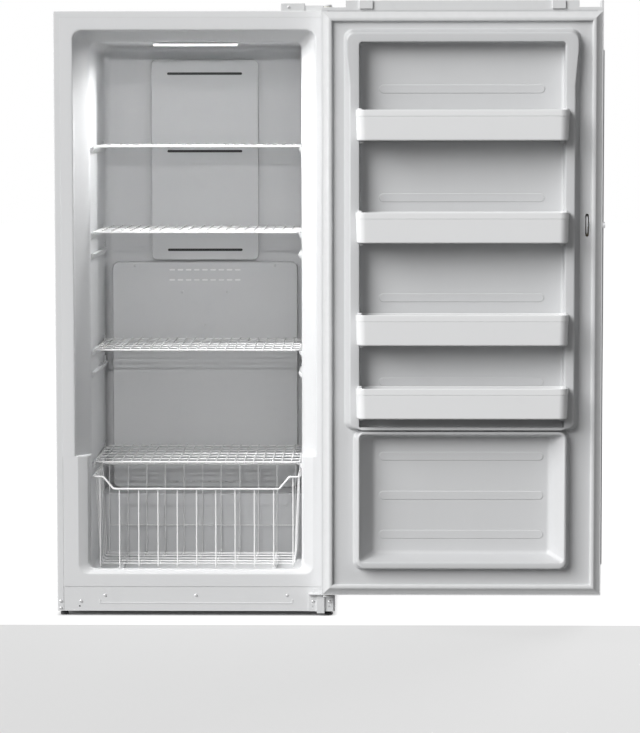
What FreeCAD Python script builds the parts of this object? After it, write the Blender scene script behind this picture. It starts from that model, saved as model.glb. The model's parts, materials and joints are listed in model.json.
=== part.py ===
import FreeCAD, Part
import math
import os

import Sketcher

# An upright freezer with its door swung back to 180 degrees.
# Millimetres, +Z up, +Y towards the back of the cabinet.
# The origin lies on the floor, under the middle of the cabinet's front edge.
# Door pieces are drawn as if the door were shut, then turned half round about the hinge axis.

doc = FreeCAD.newDocument("UprightFreezer")
sheet = doc.addObject("Spreadsheet::Sheet", "Sizes")
V = FreeCAD.Vector

SIZES = {
    # cabinet casing
    "cabinet_width": 838,
    "cabinet_depth": 685,
    "cabinet_top": 1813,
    "wrapper_wall": 1,
    "wrapper_flange": 20,
    "wrapper_bottom": 14,
    "back_wall": 0.8,
    "seam_gap": 0.5,
    # liner
    "liner_wall": 2,
    "side_foam": 99,
    "ceiling_foam": 89,
    "compartment_floor": 122,
    "back_foam": 60,
    "compartment_radius": 22,
    "machine_space": 255,
    "hump_top": 320,
    "throat_flare": 42,
    "throat_top_inset": 57,
    "throat_land": 12,
    "throat_depth": 72,
    "throat_step": 482,
    "throat_radius": 26,
    "sill_flare": 30,
    "sill_bottom": 129,
    "sill_depth": 10,
    "lip_flare": 5,
    "lip_top": 139,
    "lip_depth": 30,
    # foot of the cabinet
    "frame_height": 89,
    "bulkhead_wall": 1.2,
    "hump_foam": 45,
    "base_height": 24,
    "base_wall": 2,
    "base_flange": 41,
    "base_front": 12,
    "base_rear": 205,
    "kick_side_gap": 20.5,
    "kick_wall": 1.2,
    "kick_bead_z": 36,
    "kick_bead_inset": 106.5,
    "kick_bead_height": 4,
    "kick_bead_proud": 1,
    # feet
    "foot_inset": 19,
    "foot_front": 30,
    "foot_rear_inset": 30,
    "foot_pad_radius": 12,
    "foot_pad_height": 8,
    "foot_stud_radius": 5,
    "foot_stud_top": 50,
    "foot_nut_across": 17,
    "running_gap": 0.08,
    # covers inside the compartment
    "cover_wall": 2,
    "duct_half": 170.5,
    "duct_bottom_gap": 5,
    "duct_top_gap": 43,
    "duct_cover_depth": 25,
    "duct_radius": 18,
    "slot_half": 119,
    "slot_height": 8,
    "slot_high_drop": 49,
    "slot_mid_drop": 294,
    "slot_low_rise": 29,
    "evaporator_cover_side_gap": 25.5,
    "evaporator_cover_top": 1040,
    "evaporator_cover_depth": 47,
    "evaporator_cover_radius": 20,
    "vent_pitch": 26,
    "vent_width": 18,
    "vent_height": 5,
    "vent_rows_high_drop": 27,
    "vent_rows_mid_drop": 59,
    "vent_rows_low": 337,
    # evaporator space
    "coil_side_gap": 54.5,
    "coil_bottom": 430,
    "coil_top": 830,
    "coil_depth": 37,
    "fin_pitch": 24,
    "fin_gap": 16,
    "fin_depth": 22,
    "tube_radius": 4,
    "heater_radius": 4,
    "heater_drop": 18,
    "trough_overhang": 10,
    "trough_bottom": 372,
    "trough_top": 392,
    "trough_wall": 2,
    "drain_radius": 8,
    "drain_wall": 1.5,
    "evaporator_fan_z": 925,
    "fan_radius": 50,
    "fan_hub_radius": 16,
    "fan_depth": 12,
    "fan_blade_wall": 1.5,
    "motor_radius": 24,
    "motor_depth": 14,
    "axle_radius": 2.5,
    # machine space
    "compressor_inset": 249,
    "compressor_setback": 105,
    "compressor_radius": 72,
    "compressor_height": 150,
    "compressor_dome": 34,
    "compressor_foot_half": 80,
    "compressor_foot_wall": 3,
    "grommet_radius": 11,
    "grommet_height": 14,
    "condenser_inset": 89,
    "condenser_width": 130,
    "condenser_setback": 175,
    "condenser_back_gap": 45,
    "condenser_height": 150,
    "condenser_lift": 3,
    "condenser_fan_reach": 115,
    "condenser_fan_z": 110,
    "condenser_ring_wall": 3,
    "drain_pan_half": 110,
    "drain_pan_x": 0,
    "drain_pan_setback": 185,
    "drain_pan_back_gap": 25,
    "drain_pan_height": 24,
    "drain_pan_wall": 2,
    "rear_cover_wall": 1,
    "louvre_half": 90,
    "louvre_height": 6,
    "louvre_pitch": 22,
    # light
    "light_half": 130,
    "light_front": 78,
    "light_depth": 26,
    "light_base": 6,
    "light_lens": 7,
    # shelves
    "shelf_1_drop": 309,
    "shelf_2": 1157,
    "shelf_3": 801,
    "shelf_4": 460,
    "shelf_side_gap": 6,
    "shelf_front": 92,
    "shelf_back_gap": 13,
    "shelf_radius": 20,
    "frame_wire": 6,
    "deck_wire": 3.5,
    "deck_pitch": 28.6,
    "cross_wire": 4,
    "cross_pitch": 78,
    "ledge_width": 12,
    "ledge_height": 16,
    "ledge_wall": 4,
    "ledge_front": 104,
    "ledge_back_gap": 5,
    "ledge_tail": 18,
    "spare_ledge_high": 1087,
    "spare_ledge_low": 727,
    "rest_gap": 0.3,
    # basket
    "basket_side_gap": 8,
    "basket_draft": 20,
    "basket_rim": 416.5,
    "basket_dip": 37,
    "basket_dip_inset": 31,
    "basket_dip_ramp": 31,
    "basket_bottom": 142,
    "basket_front": 40,
    "basket_back_gap": 38,
    "basket_back_draft": 18,
    "basket_wire": 3.5,
    "basket_rim_wire": 6,
    "basket_pitch": 58.3,
    "basket_cross_pitch": 62,
    "basket_mid": 225,
    "runner_width": 12,
    "runner_front": 60,
    "runner_back_gap": 22,
    # door
    "hinge_inset": 21,
    "hinge_y": -40,
    "door_side_gap": 3,
    "door_front": -75,
    "door_back": -12,
    "door_bottom": 73.5,
    "door_top_gap": 1,
    "skin_wall": 1,
    "skin_lip": 18,
    "bottom_cap_height": 12,
    "top_cap_height": 9,
    "top_cap_rise": 20,
    "cap_recess": 72,
    "cap_post": 7,
    "cap_block_width": 40,
    "cap_block_inset": 112,
    "cap_block_proud": 6,
    "door_liner_wall": 2,
    "dike_foot_inset": 67,
    "dike_inset": 83,
    "pocket_inset": 114,
    "dike_back": 22,
    "dike_top_inset": 66,
    "dike_foot_top_inset": 54,
    "pocket_top_inset": 95,
    "dike_bottom": 582,
    "pocket_bottom": 573,
    "dike_radius": 24,
    "pocket_back": -30,
    "tub_foot_inset": 93,
    "tub_inset": 104,
    "tub_inner_inset": 115,
    "tub_floor_inset": 151,
    "tub_bottom_inset": 76.5,
    "tub_top": 568,
    "tub_frame": 28,
    "tub_inner_top": 556,
    "tub_bottom_slope": 18,
    "tub_floor_top": 548,
    "rib_inset": 171,
    "rib_height": 26,
    "rib_proud": 1.5,
    "gasket_width": 15,
    "gasket_base": 4,
    "gasket_bulb_inset": 2,
    "gasket_seal_gap": 0.5,
    # door bins
    "bin_1_drop": 383,
    "bin_2": 1128,
    "bin_3": 826,
    "bin_4": 609,
    "bin_height": 91,
    "bin_overlap": 12,
    "bin_front": 75,
    "bin_wall": 2.5,
    "bin_gap": 2,
    "bin_radius": 28,
    "lug_width": 12,
    "lug_height": 8,
    # door handle and lock
    "handle_bottom_inset": 90.5,
    "handle_top_inset": 117,
    "handle_wall": 4.5,
    "handle_grip": 17,
    "handle_hook": 18,
    "handle_side": 42,
    "lock_z": 1179,
    "lock_y": -32,
    "lock_radius": 10,
    "lock_proud": 9,
    "lock_barrel": 20,
    "lock_spindle_radius": 4,
    "lock_cam_inset": 46,
    "lock_cam_wall": 4,
    "lock_cam_half": 31,
    "lock_cam_width": 29,
    "lock_slot_gap": 3,
    # hinges
    "leaf_wall": 4,
    "leaf_radius": 14,
    "pin_radius": 5,
    "pin_engagement": 24,
    "bush_radius": 8,
    "washer_radius": 11,
    "top_plate_reach": 137,
    "top_plate_depth": 70,
    "top_plate_wall": 3,
    "top_leaf_rise": 13,
    "top_leaf_inset": 6,
    "hinge_cover_rise": 22,
    "hinge_cover_wall": 2,
    "lower_plate_reach": 59,
    "lower_plate_end": 16,
    "lower_plate_drop": 2.5,
    "lower_plate_wall": 3,
    "lower_leaf_drop": 8.5,
    "lower_leg_reach": 34,
    "lower_leg_end": 11,
    "lower_leg_bottom": 9,
    "lower_leg_wall": 6,
    "stop_reach": 47,
    "stop_end": 19,
    "stop_rise": 5.5,
    # fasteners
    "screw_head": 9,
    "screw_head_height": 3,
    "screw_shank_radius": 2,
    "screw_hole_radius": 2.4,
    "screw_length": 9,
    "kick_screw_z": 61.5,
    "kick_screw_inset": 124,
    "side_screw_z": 43.5,
    "side_screw_inset": 51.5,
    "flange_screw_inset": 11,
    "spare_hole_z": 28.5,
    "spare_hole_inset": 47.5,
    "lower_hinge_screw_reach": 45.5,
    "lower_hinge_screw_end": 4.5,
    "top_hinge_screw_inset": 18,
    "top_hinge_screw_pitch": 20,
    "cover_screw_inset": 71.5,
    "cover_screw_drop": 11,
    "fan_screw_x": 71.5,
    "fan_screw_rise": 20,
    "coil_screw_rise": 8,
}

# Sizes that fit another: the size they start from, and the named clearance that lies between.
FITS = {
    "cabinet_half": ("cabinet_width", "/", 2),
    # across the cabinet
    "compartment_half": ("cabinet_half", "-", "side_foam"),
    "throat_half": ("compartment_half", "+", "throat_flare"),
    "sill_half": ("compartment_half", "+", "sill_flare"),
    "lip_half": ("compartment_half", "+", "lip_flare"),
    "kick_half": ("cabinet_half", "-", "kick_side_gap"),
    "kick_bead_half": ("kick_half", "-", "kick_bead_inset"),
    "kick_screw_x": ("kick_half", "-", "kick_screw_inset"),
    "kick_side_screw_x": ("kick_half", "-", "side_screw_inset"),
    "spare_hole_x": ("kick_half", "-", "spare_hole_inset"),
    "flange_screw_x": ("cabinet_half", "-", "flange_screw_inset"),
    "foot_half": ("cabinet_half", "-", "foot_inset"),
    "evaporator_cover_half": ("compartment_half", "-", "evaporator_cover_side_gap"),
    "coil_half": ("evaporator_cover_half", "-", "coil_side_gap"),
    "trough_half": ("coil_half", "+", "trough_overhang"),
    "cover_screw_x": ("evaporator_cover_half", "-", "cover_screw_inset"),
    "compressor_x": ("cabinet_half", "-", "compressor_inset"),
    "condenser_x": ("condenser_inset", "-", "cabinet_half"),
    "condenser_fan_x": ("condenser_x", "+", "condenser_fan_reach"),
    "shelf_half": ("compartment_half", "-", "shelf_side_gap"),
    "basket_half": ("compartment_half", "-", "basket_side_gap"),
    "basket_base_half": ("basket_half", "-", "basket_draft"),
    "basket_dip_half": ("basket_half", "-", "basket_dip_inset"),
    "basket_dip_flat_half": ("basket_dip_half", "-", "basket_dip_ramp"),
    # across the door
    "hinge_x": ("cabinet_half", "-", "hinge_inset"),
    "door_half": ("cabinet_half", "-", "door_side_gap"),
    "dike_foot_half": ("door_half", "-", "dike_foot_inset"),
    "dike_half": ("door_half", "-", "dike_inset"),
    "dike_inner_half": ("door_half", "-", "pocket_inset"),
    "tub_foot_half": ("door_half", "-", "tub_foot_inset"),
    "tub_half": ("door_half", "-", "tub_inset"),
    "tub_inner_half": ("door_half", "-", "tub_inner_inset"),
    "tub_floor_half": ("door_half", "-", "tub_floor_inset"),
    "rib_half": ("door_half", "-", "rib_inset"),
    "bin_half": ("dike_inner_half", "+", "bin_overlap"),
    "cap_block_outer": ("door_half", "-", "cap_block_inset"),
    "cap_block_inner": ("cap_block_outer", "-", "cap_block_width"),
    "lock_cam_x": ("lock_cam_inset", "-", "door_half"),
    "top_plate_inner": ("hinge_x", "-", "top_plate_reach"),
    "top_hinge_screw_first": ("top_plate_inner", "+", "top_hinge_screw_inset"),
    "lower_plate_inner": ("hinge_x", "-", "lower_plate_reach"),
    "lower_plate_outer": ("hinge_x", "+", "lower_plate_end"),
    "lower_leg_inner": ("hinge_x", "-", "lower_leg_reach"),
    "lower_leg_outer": ("hinge_x", "-", "lower_leg_end"),
    "stop_inner": ("hinge_x", "-", "stop_reach"),
    "stop_outer": ("hinge_x", "-", "stop_end"),
    "lower_hinge_screw_inner": ("hinge_x", "-", "lower_hinge_screw_reach"),
    "lower_hinge_screw_outer": ("hinge_x", "+", "lower_hinge_screw_end"),
    # front to back
    "compartment_back": ("cabinet_depth", "-", "back_foam"),
    "hump_front": ("cabinet_depth", "-", "machine_space"),
    "duct_front": ("compartment_back", "-", "duct_cover_depth"),
    "evaporator_cover_front": ("compartment_back", "-", "evaporator_cover_depth"),
    "coil_front": ("compartment_back", "-", "coil_depth"),
    "foot_rear": ("cabinet_depth", "-", "foot_rear_inset"),
    "compressor_y": ("cabinet_depth", "-", "compressor_setback"),
    "condenser_front": ("cabinet_depth", "-", "condenser_setback"),
    "condenser_back": ("cabinet_depth", "-", "condenser_back_gap"),
    "drain_pan_front": ("cabinet_depth", "-", "drain_pan_setback"),
    "drain_pan_back": ("cabinet_depth", "-", "drain_pan_back_gap"),
    "shelf_back": ("evaporator_cover_front", "-", "shelf_back_gap"),
    "ledge_back": ("shelf_back", "-", "ledge_back_gap"),
    "basket_back": ("hump_front", "-", "basket_back_gap"),
    "basket_base_back": ("basket_back", "-", "basket_back_draft"),
    "runner_back": ("basket_back", "-", "runner_back_gap"),
    # up and down
    "compartment_top": ("cabinet_top", "-", "ceiling_foam"),
    "throat_top": ("cabinet_top", "-", "throat_top_inset"),
    "duct_top": ("compartment_top", "-", "duct_top_gap"),
    "slot_high": ("duct_top", "-", "slot_high_drop"),
    "slot_mid": ("duct_top", "-", "slot_mid_drop"),
    "slot_low": ("duct_bottom", "+", "slot_low_rise"),
    "duct_bottom": ("evaporator_cover_top", "+", "duct_bottom_gap"),
    "vent_rows_high": ("evaporator_cover_top", "-", "vent_rows_high_drop"),
    "vent_rows_mid": ("evaporator_cover_top", "-", "vent_rows_mid_drop"),
    "cover_screw_z": ("evaporator_cover_top", "-", "cover_screw_drop"),
    "fan_screw_z": ("evaporator_fan_z", "+", "fan_screw_rise"),
    "coil_screw_z": ("coil_top", "+", "coil_screw_rise"),
    "shelf_1": ("compartment_top", "-", "shelf_1_drop"),
    "door_top": ("cabinet_top", "-", "door_top_gap"),
    "dike_top": ("door_top", "-", "dike_top_inset"),
    "dike_foot_top": ("door_top", "-", "dike_foot_top_inset"),
    "dike_inner_top": ("door_top", "-", "pocket_top_inset"),
    "handle_top": ("door_top", "-", "handle_top_inset"),
    "bin_1": ("door_top", "-", "bin_1_drop"),
    "top_leaf_z": ("door_top", "+", "top_leaf_rise"),
    "hinge_cover_top": ("cabinet_top", "+", "hinge_cover_rise"),
    "lower_leaf_z": ("door_bottom", "-", "lower_leaf_drop"),
    "lower_plate_top": ("door_bottom", "-", "lower_plate_drop"),
    "stop_top": ("door_bottom", "+", "stop_rise"),
    "handle_bottom": ("door_bottom", "+", "handle_bottom_inset"),
    "tub_bottom": ("door_bottom", "+", "tub_bottom_inset"),
    "tub_inner_bottom": ("tub_bottom", "+", "tub_frame"),
    "tub_floor_bottom": ("tub_inner_bottom", "+", "tub_bottom_slope"),
}


class Length:
    """A size in millimetres, together with the expression that ties it to the sheet."""

    def __init__(self, number, text):
        self.number = number
        self.text = text

    @staticmethod
    def of(other):
        if isinstance(other, Length):
            return other
        return Length(float(other), repr(float(other)))

    def _joined(self, other, sign, number):
        return Length(number, f"({self.text} {sign} {Length.of(other).text})")

    def __add__(self, other):
        return self._joined(other, "+", self.number + Length.of(other).number)

    def __sub__(self, other):
        return self._joined(other, "-", self.number - Length.of(other).number)

    def __mul__(self, other):
        return self._joined(other, "*", self.number * Length.of(other).number)

    def __truediv__(self, other):
        return self._joined(other, "/", self.number / Length.of(other).number)

    def __radd__(self, other):
        return Length.of(other) + self

    def __rsub__(self, other):
        return Length.of(other) - self

    def __neg__(self):
        return Length(-self.number, f"(0 - {self.text})")

    def __float__(self):
        return float(self.number)


def fill_sheet():
    """Writes every size into the sheet, one row each, with its name as the alias."""
    for row, (name, number) in enumerate(SIZES.items(), start=1):
        sheet.set(f"A{row}", name)
        sheet.set(f"B{row}", str(number))
        sheet.setAlias(f"B{row}", name)
    doc.recompute()


def size(name):
    """A size from the sheet, or one that fits another size with its clearance."""
    if name not in FITS:
        return Length(float(sheet.get(name)), f"Sizes.{name}")
    base, sign, clearance = FITS[name]
    if sign == "/":
        return size(base) / clearance
    return size(base) + size(clearance) if sign == "+" else size(base) - size(clearance)


fill_sheet()
ZERO = Length.of(0)

# ---------------------------------------------------------------- sketch helpers


def bound(sketch, constraint, length):
    """Adds a constraint whose value follows a length."""
    index = sketch.addConstraint(constraint)
    sketch.setExpression(f"Constraints[{index}]", length.text)


def pin_point(sketch, geometry, end, across, up):
    """Fixes a point of the sketch at a distance across and up from the origin."""
    if across is not None:
        if abs(across.number) < 1e-9:
            sketch.addConstraint(Sketcher.Constraint("PointOnObject", geometry, end, -2))
        else:
            bound(sketch, Sketcher.Constraint("DistanceX", -1, 1, geometry, end, across.number), across)
    if up is not None:
        if abs(up.number) < 1e-9:
            sketch.addConstraint(Sketcher.Constraint("PointOnObject", geometry, end, -1))
        else:
            bound(sketch, Sketcher.Constraint("DistanceY", -1, 1, geometry, end, up.number), up)


def polygon(sketch, corners):
    """A closed outline of straight lines through corners, each a pair of lengths."""
    corners = [(Length.of(a), Length.of(b)) for a, b in corners]
    first = sketch.GeometryCount
    count = len(corners)
    for i, (a, b) in enumerate(corners):
        c, d = corners[(i + 1) % count]
        start, end = V(a.number, b.number, 0), V(c.number, d.number, 0)
        sketch.addGeometry(Part.LineSegment(start, end))
    for i in range(count):
        link = Sketcher.Constraint("Coincident", first + i, 2, first + (i + 1) % count, 1)
        sketch.addConstraint(link)
    for i, (a, b) in enumerate(corners):
        pin_point(sketch, first + i, 1, a, b)


def rounded(sketch, corners):
    """A closed outline of level and upright lines. Each corner is (across, up, radius or None)."""
    corners = [(Length.of(a), Length.of(b), r and Length.of(r)) for a, b, r in corners]
    count = len(corners)
    points = [V(a.number, b.number, 0) for a, b, _ in corners]
    radii = [r.number if r else 0.0 for _, _, r in corners]
    runs = [(points[(i + 1) % count] - points[i]).normalize() for i in range(count)]
    first = sketch.GeometryCount
    for i in range(count):
        start = points[i] + runs[i] * radii[i]
        end = points[(i + 1) % count] - runs[i] * radii[(i + 1) % count]
        sketch.addGeometry(Part.LineSegment(start, end))
    for i, (across, up, _) in enumerate(corners):
        level = abs(runs[i].y) < 1e-9
        sketch.addConstraint(Sketcher.Constraint("Horizontal" if level else "Vertical", first + i))
        pin_point(sketch, first + i, 1, None if level else across, up if level else None)
    for i, (_, _, radius) in enumerate(corners):
        before = first + (i - 1) % count
        after = first + i
        if not radius:
            sketch.addConstraint(Sketcher.Constraint("Coincident", before, 2, after, 1))
            continue
        came, goes = runs[i - 1], runs[i]
        centre = points[i] - came * radii[i] + goes * radii[i]
        left_turn = came.cross(goes).z > 0
        start = -goes if left_turn else -came
        angle = math.atan2(start.y, start.x)
        circle = Part.Circle(centre, V(0, 0, 1), radii[i])
        arc = sketch.addGeometry(Part.ArcOfCircle(circle, angle, angle + math.pi / 2))
        first_end, last_end = (1, 2) if left_turn else (2, 1)
        sketch.addConstraint(Sketcher.Constraint("Tangent", before, 2, arc, first_end))
        sketch.addConstraint(Sketcher.Constraint("Tangent", arc, last_end, after, 1))
        bound(sketch, Sketcher.Constraint("Radius", arc, radii[i]), radius)


def box_outline(left, right, low, high, radius=None):
    """A draw function for an upright rectangle, all four corners alike."""
    corners = [(left, low, radius), (right, low, radius), (right, high, radius), (left, high, radius)]
    return lambda sketch: rounded(sketch, corners)


def eased(corners, steps=3):
    """A draw function like rounded, each corner's bend drawn in short flats. For lofts."""
    corners = [(Length.of(a), Length.of(b), r and Length.of(r)) for a, b, r in corners]
    count = len(corners)
    points = [V(a.number, b.number, 0) for a, b, _ in corners]
    runs = [(points[(i + 1) % count] - points[i]).normalize() for i in range(count)]
    flats = []
    for i, (across, up, radius) in enumerate(corners):
        if not radius:
            flats.append((across, up))
            continue
        came, goes = runs[i - 1], runs[i]
        for k in range(steps + 1):
            turn = math.pi / 2 * k / steps
            away = goes - came - goes * math.cos(turn) + came * math.sin(turn)
            flats.append((across + radius * away.x, up + radius * away.y))
    return lambda sketch: polygon(sketch, flats)


def eased_box(left, right, low, high, radius):
    """A draw function for an upright rectangle with its four corners eased."""
    return eased([(left, low, radius), (right, low, radius), (right, high, radius), (left, high, radius)])


def eased_arch(half, low, high, radius):
    """A draw function for a rectangle about the middle, only its upper corners eased."""
    return eased([(-half, low, None), (half, low, None), (half, high, radius), (-half, high, radius)])


def eased_cradle(half, low, high, radius):
    """A draw function for a rectangle about the middle, only its lower corners eased."""
    return eased([(-half, low, radius), (half, low, radius), (half, high, None), (-half, high, None)])


def circle_outline(across, up, radius):
    """A draw function for one circle."""

    def draw(sketch):
        centre = V(Length.of(across).number, Length.of(up).number, 0)
        ring = sketch.addGeometry(Part.Circle(centre, V(0, 0, 1), radius.number))
        pin_point(sketch, ring, 3, Length.of(across), Length.of(up))
        bound(sketch, Sketcher.Constraint("Radius", ring, radius.number), radius)

    return draw


def facet_outline(across, up, radius, count, around=False):
    """A draw function for a regular polygon inside a circle, or with around one that clears it."""
    radius = radius / math.cos(math.pi / count) if around else radius
    corners = []
    for i in range(count):
        turn = 2 * math.pi * (i + 0.5) / count
        corners.append((Length.of(across) + radius * math.cos(turn), Length.of(up) + radius * math.sin(turn)))
    return lambda sketch: polygon(sketch, corners)


def capsule_outline(across, up, half, radius, steps=4):
    """A draw function for a level slot with faceted round ends, half long each way."""
    corners = []
    for side in (1, -1):
        for i in range(steps + 1):
            turn = math.pi * (i / steps - 0.5)
            centre = (half - radius) * side
            corners.append((across + centre + radius * (side * math.cos(turn)), up + radius * (side * math.sin(turn))))
    return lambda sketch: polygon(sketch, corners)


# ---------------------------------------------------------------- feature helpers

NORMAL_SIGN = {"XY": 1, "XZ": -1, "YZ": 1}
exports = []


def keep(thing, label):
    """Marks an object for export under its label."""
    thing.Label = label
    exports.append(thing)
    return thing


def new_body(label, kept=True):
    body = doc.addObject("PartDesign::Body", label)
    if kept:
        keep(body, label)
    return body


def new_sketch(body, plane, at, draw):
    """A sketch parallel to an origin plane of the body, at a distance along the world axis it faces."""
    sketch = body.newObject("Sketcher::SketchObject", f"{body.Name}_outline")
    base = next(p for p in body.Origin.OriginFeatures if p.Role == f"{plane}_Plane")
    sketch.AttachmentSupport = (base, [""])
    sketch.MapMode = "FlatFace"
    at = Length.of(at)
    offset = at if NORMAL_SIGN[plane] > 0 else -at
    sketch.setExpression("AttachmentOffset.Base.z", offset.text)
    draw(sketch)
    return sketch


def prism(body, plane, at, length, draw, cut=False):
    """Pads the outline from at along the plane's axis by length, or with cut takes that much away."""
    sketch = new_sketch(body, plane, at, draw)
    kind = "Pocket" if cut else "Pad"
    feature = body.newObject(f"PartDesign::{kind}", f"{body.Name}_{kind.lower()}")
    feature.Profile = sketch
    feature.setExpression("Length", Length.of(length).text)
    along_normal = NORMAL_SIGN[plane] > 0
    feature.Reversed = along_normal if cut else not along_normal
    return feature


def loft(body, plane, stations, cut=False):
    """Joins outlines at their places along the plane's axis with straight sides."""
    sketches = [new_sketch(body, plane, at, draw) for at, draw in stations]
    kind = "SubtractiveLoft" if cut else "AdditiveLoft"
    feature = body.newObject(f"PartDesign::{kind}", f"{body.Name}_{kind.lower()}")
    feature.Profile = sketches[0]
    feature.Sections = [(sketch, [""]) for sketch in sketches[1:]]
    feature.Ruled = True
    return feature


def repeat(body, feature, axis, length, count):
    """Repeats a feature count times over length along an origin axis of the body."""
    line = next(p for p in body.Origin.OriginFeatures if p.Role == f"{axis}_Axis")
    pattern = body.newObject("PartDesign::LinearPattern", f"{body.Name}_row")
    pattern.Originals = [feature]
    pattern.Direction = (line, [""])
    pattern.setExpression("Length", Length.of(length).text)
    pattern.Occurrences = count
    body.Tip = pattern
    return pattern


def dress_edges(body, kind, wanted):
    """A fillet or chamfer on the tip's edges that wanted picks by their two ends."""
    doc.recompute()
    tip = body.Tip
    names = []
    for i, edge in enumerate(tip.Shape.Edges, start=1):
        if len(edge.Vertexes) == 2 and wanted(edge.Vertexes[0].Point, edge.Vertexes[1].Point):
            names.append(f"Edge{i}")
    feature = body.newObject(f"PartDesign::{kind}", f"{body.Name}_{kind.lower()}")
    feature.Base = (tip, names)
    return feature


def place(thing, x=None, y=None, z=None):
    """Ties an object's position to lengths."""
    for axis, length in (("x", x), ("y", y), ("z", z)):
        if length is not None:
            thing.setExpression(f"Placement.Base.{axis}", Length.of(length).text)


def swing_open(thing):
    """Turns a piece drawn with the door shut half round about the hinge axis."""
    thing.Placement = FreeCAD.Placement(V(0, 0, 0), FreeCAD.Rotation(V(0, 0, 1), 180))
    place(thing, size("hinge_x") * 2, size("hinge_y") * 2)


def group(label, solids, on_door=False):
    """Separate like solids in one sub-part."""
    thing = doc.addObject("Part::Feature", label)
    thing.Shape = Part.Compound(solids)
    if on_door:
        swing_open(thing)
    return keep(thing, label)


# ---------------------------------------------------------------- loose solids

ALONG = {"X": V(1, 0, 0), "Y": V(0, 1, 0), "Z": V(0, 0, 1)}


def section(centre, direction, across, sides=6):
    """A six- or four-sided face, across its flats, square to direction, with a level flat below."""
    direction = V(direction).normalize()
    level = V(0, 0, 1).cross(direction)
    level = V(1, 0, 0) if level.Length < 1e-6 else level.normalize()
    upright = direction.cross(level)
    reach = across / 2 / math.cos(math.pi / sides)
    first = math.pi / sides if sides == 4 else 0
    corners = []
    for i in range(sides + 1):
        turn = first + 2 * math.pi * (i % sides) / sides
        corners.append(centre + level * (reach * math.cos(turn)) + upright * (reach * math.sin(turn)))
    return Part.Face(Part.makePolygon(corners))


def bar(start, end, across, sides=6):
    """A straight drawn wire between two points."""
    return section(start, end - start, across, sides).extrude(end - start)


def bent_wire(points, across, closed=False):
    """A wire through points, with square-cut bends."""
    path = Part.makePolygon(points + [points[0]] if closed else points)
    profile = section(points[0], points[1] - points[0], across).OuterWire
    return path.makePipeShell([profile], True, False, 1)


def screw(point, direction):
    """A hexagon-headed screw seated at point, its head standing out along direction."""
    direction = V(direction)
    head = section(point, direction, float(size("screw_head")))
    head = head.extrude(direction * float(size("screw_head_height")))
    length = float(size("screw_length"))
    shank = section(point - direction * length, direction, float(size("screw_shank_radius")) * 2)
    return head.fuse(shank.extrude(direction * length)).removeSplitter()


def cylinder(radius, height, foot, direction):
    return Part.makeCylinder(float(radius), float(height), foot, direction)


def faceted(radius, height, foot, direction, count=16):
    """A round piece drawn with flat sides, its corners on the circle."""
    direction = V(direction)
    across = direction.cross(V(0, 0, 1))
    across = V(1, 0, 0) if across.Length < 1e-6 else across.normalize()
    upright = direction.cross(across)
    corners = []
    for i in range(count + 1):
        turn = 2 * math.pi * (i % count) / count
        corners.append(foot + (across * math.cos(turn) + upright * math.sin(turn)) * float(radius))
    return Part.Face(Part.makePolygon(corners)).extrude(direction * float(height))


# ================================================================ cabinet casing

half_width = size("cabinet_width") / 2
inner_half = half_width - size("wrapper_wall")
inner_top = size("cabinet_top") - size("wrapper_wall")
flange_half = half_width - size("wrapper_flange")
flange_top = size("cabinet_top") - size("wrapper_flange")


def cabinet_wrapper():
    """The painted sheet that folds over both sides and the top, with a flange round the front."""
    body = new_body("cabinet_wrapper")
    low, high = size("wrapper_bottom"), size("cabinet_top")
    outer = [(-half_width, low), (half_width, low), (half_width, high), (-half_width, high)]
    side = [
        outer[0],
        (-inner_half, low),
        (-inner_half, inner_top),
        (inner_half, inner_top),
        (inner_half, low),
        outer[1],
        outer[2],
        outer[3],
    ]
    prism(body, "XZ", ZERO, size("cabinet_depth"), lambda s: polygon(s, side))
    front = [
        outer[0],
        (-flange_half, low),
        (-flange_half, flange_top),
        (flange_half, flange_top),
        (flange_half, low),
        outer[1],
        outer[2],
        outer[3],
    ]
    prism(body, "XZ", ZERO, size("wrapper_wall"), lambda s: polygon(s, front))


def cavity(body, grow, cut, square=False):
    """The freezing compartment as one volume, grown outwards all round by grow."""
    half = size("compartment_half") + grow
    radius = None if square else size("compartment_radius") + grow
    floor = size("compartment_floor") - grow
    roof = size("compartment_top") + grow
    hump_top = size("hump_top") - grow
    start = size("sill_depth")
    overlap = size("throat_radius") * 3
    upper = box_outline(-half, half, hump_top, roof, radius)
    prism(body, "XZ", start, size("compartment_back") + grow - start, upper, cut)
    lip = size("lip_depth") - grow
    lower = box_outline(-half, half, floor, hump_top + overlap, radius)
    prism(body, "XZ", lip, size("hump_front") + grow - lip, lower, cut)
    # the narrow mouth below the step, with a shallow splay round it
    mouth_half = size("lip_half") + grow
    mouth_low = size("lip_top") - grow
    step = size("throat_step")
    bend = None if square else size("throat_radius")
    narrow = eased_cradle(mouth_half, mouth_low, step, bend)
    prism(body, "XZ", ZERO, size("lip_depth"), narrow, cut)
    splay_half = size("sill_half") + grow
    splay = eased_cradle(splay_half, size("sill_bottom") - grow, step, bend)
    loft(body, "XZ", [(ZERO, splay), (size("sill_depth"), narrow)], cut)
    # the wide throat above the step: a short land, then a taper down to the compartment
    throat_low = step - grow
    bend = None if square else size("throat_radius") + grow
    wide = eased_arch(size("throat_half") + grow, throat_low, size("throat_top") + grow, bend)
    prism(body, "XZ", ZERO, size("throat_land"), wide, cut)
    deep = eased_arch(half, throat_low, roof, bend)
    loft(body, "XZ", [(size("throat_land"), wide), (size("throat_depth"), deep)], cut)


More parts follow.
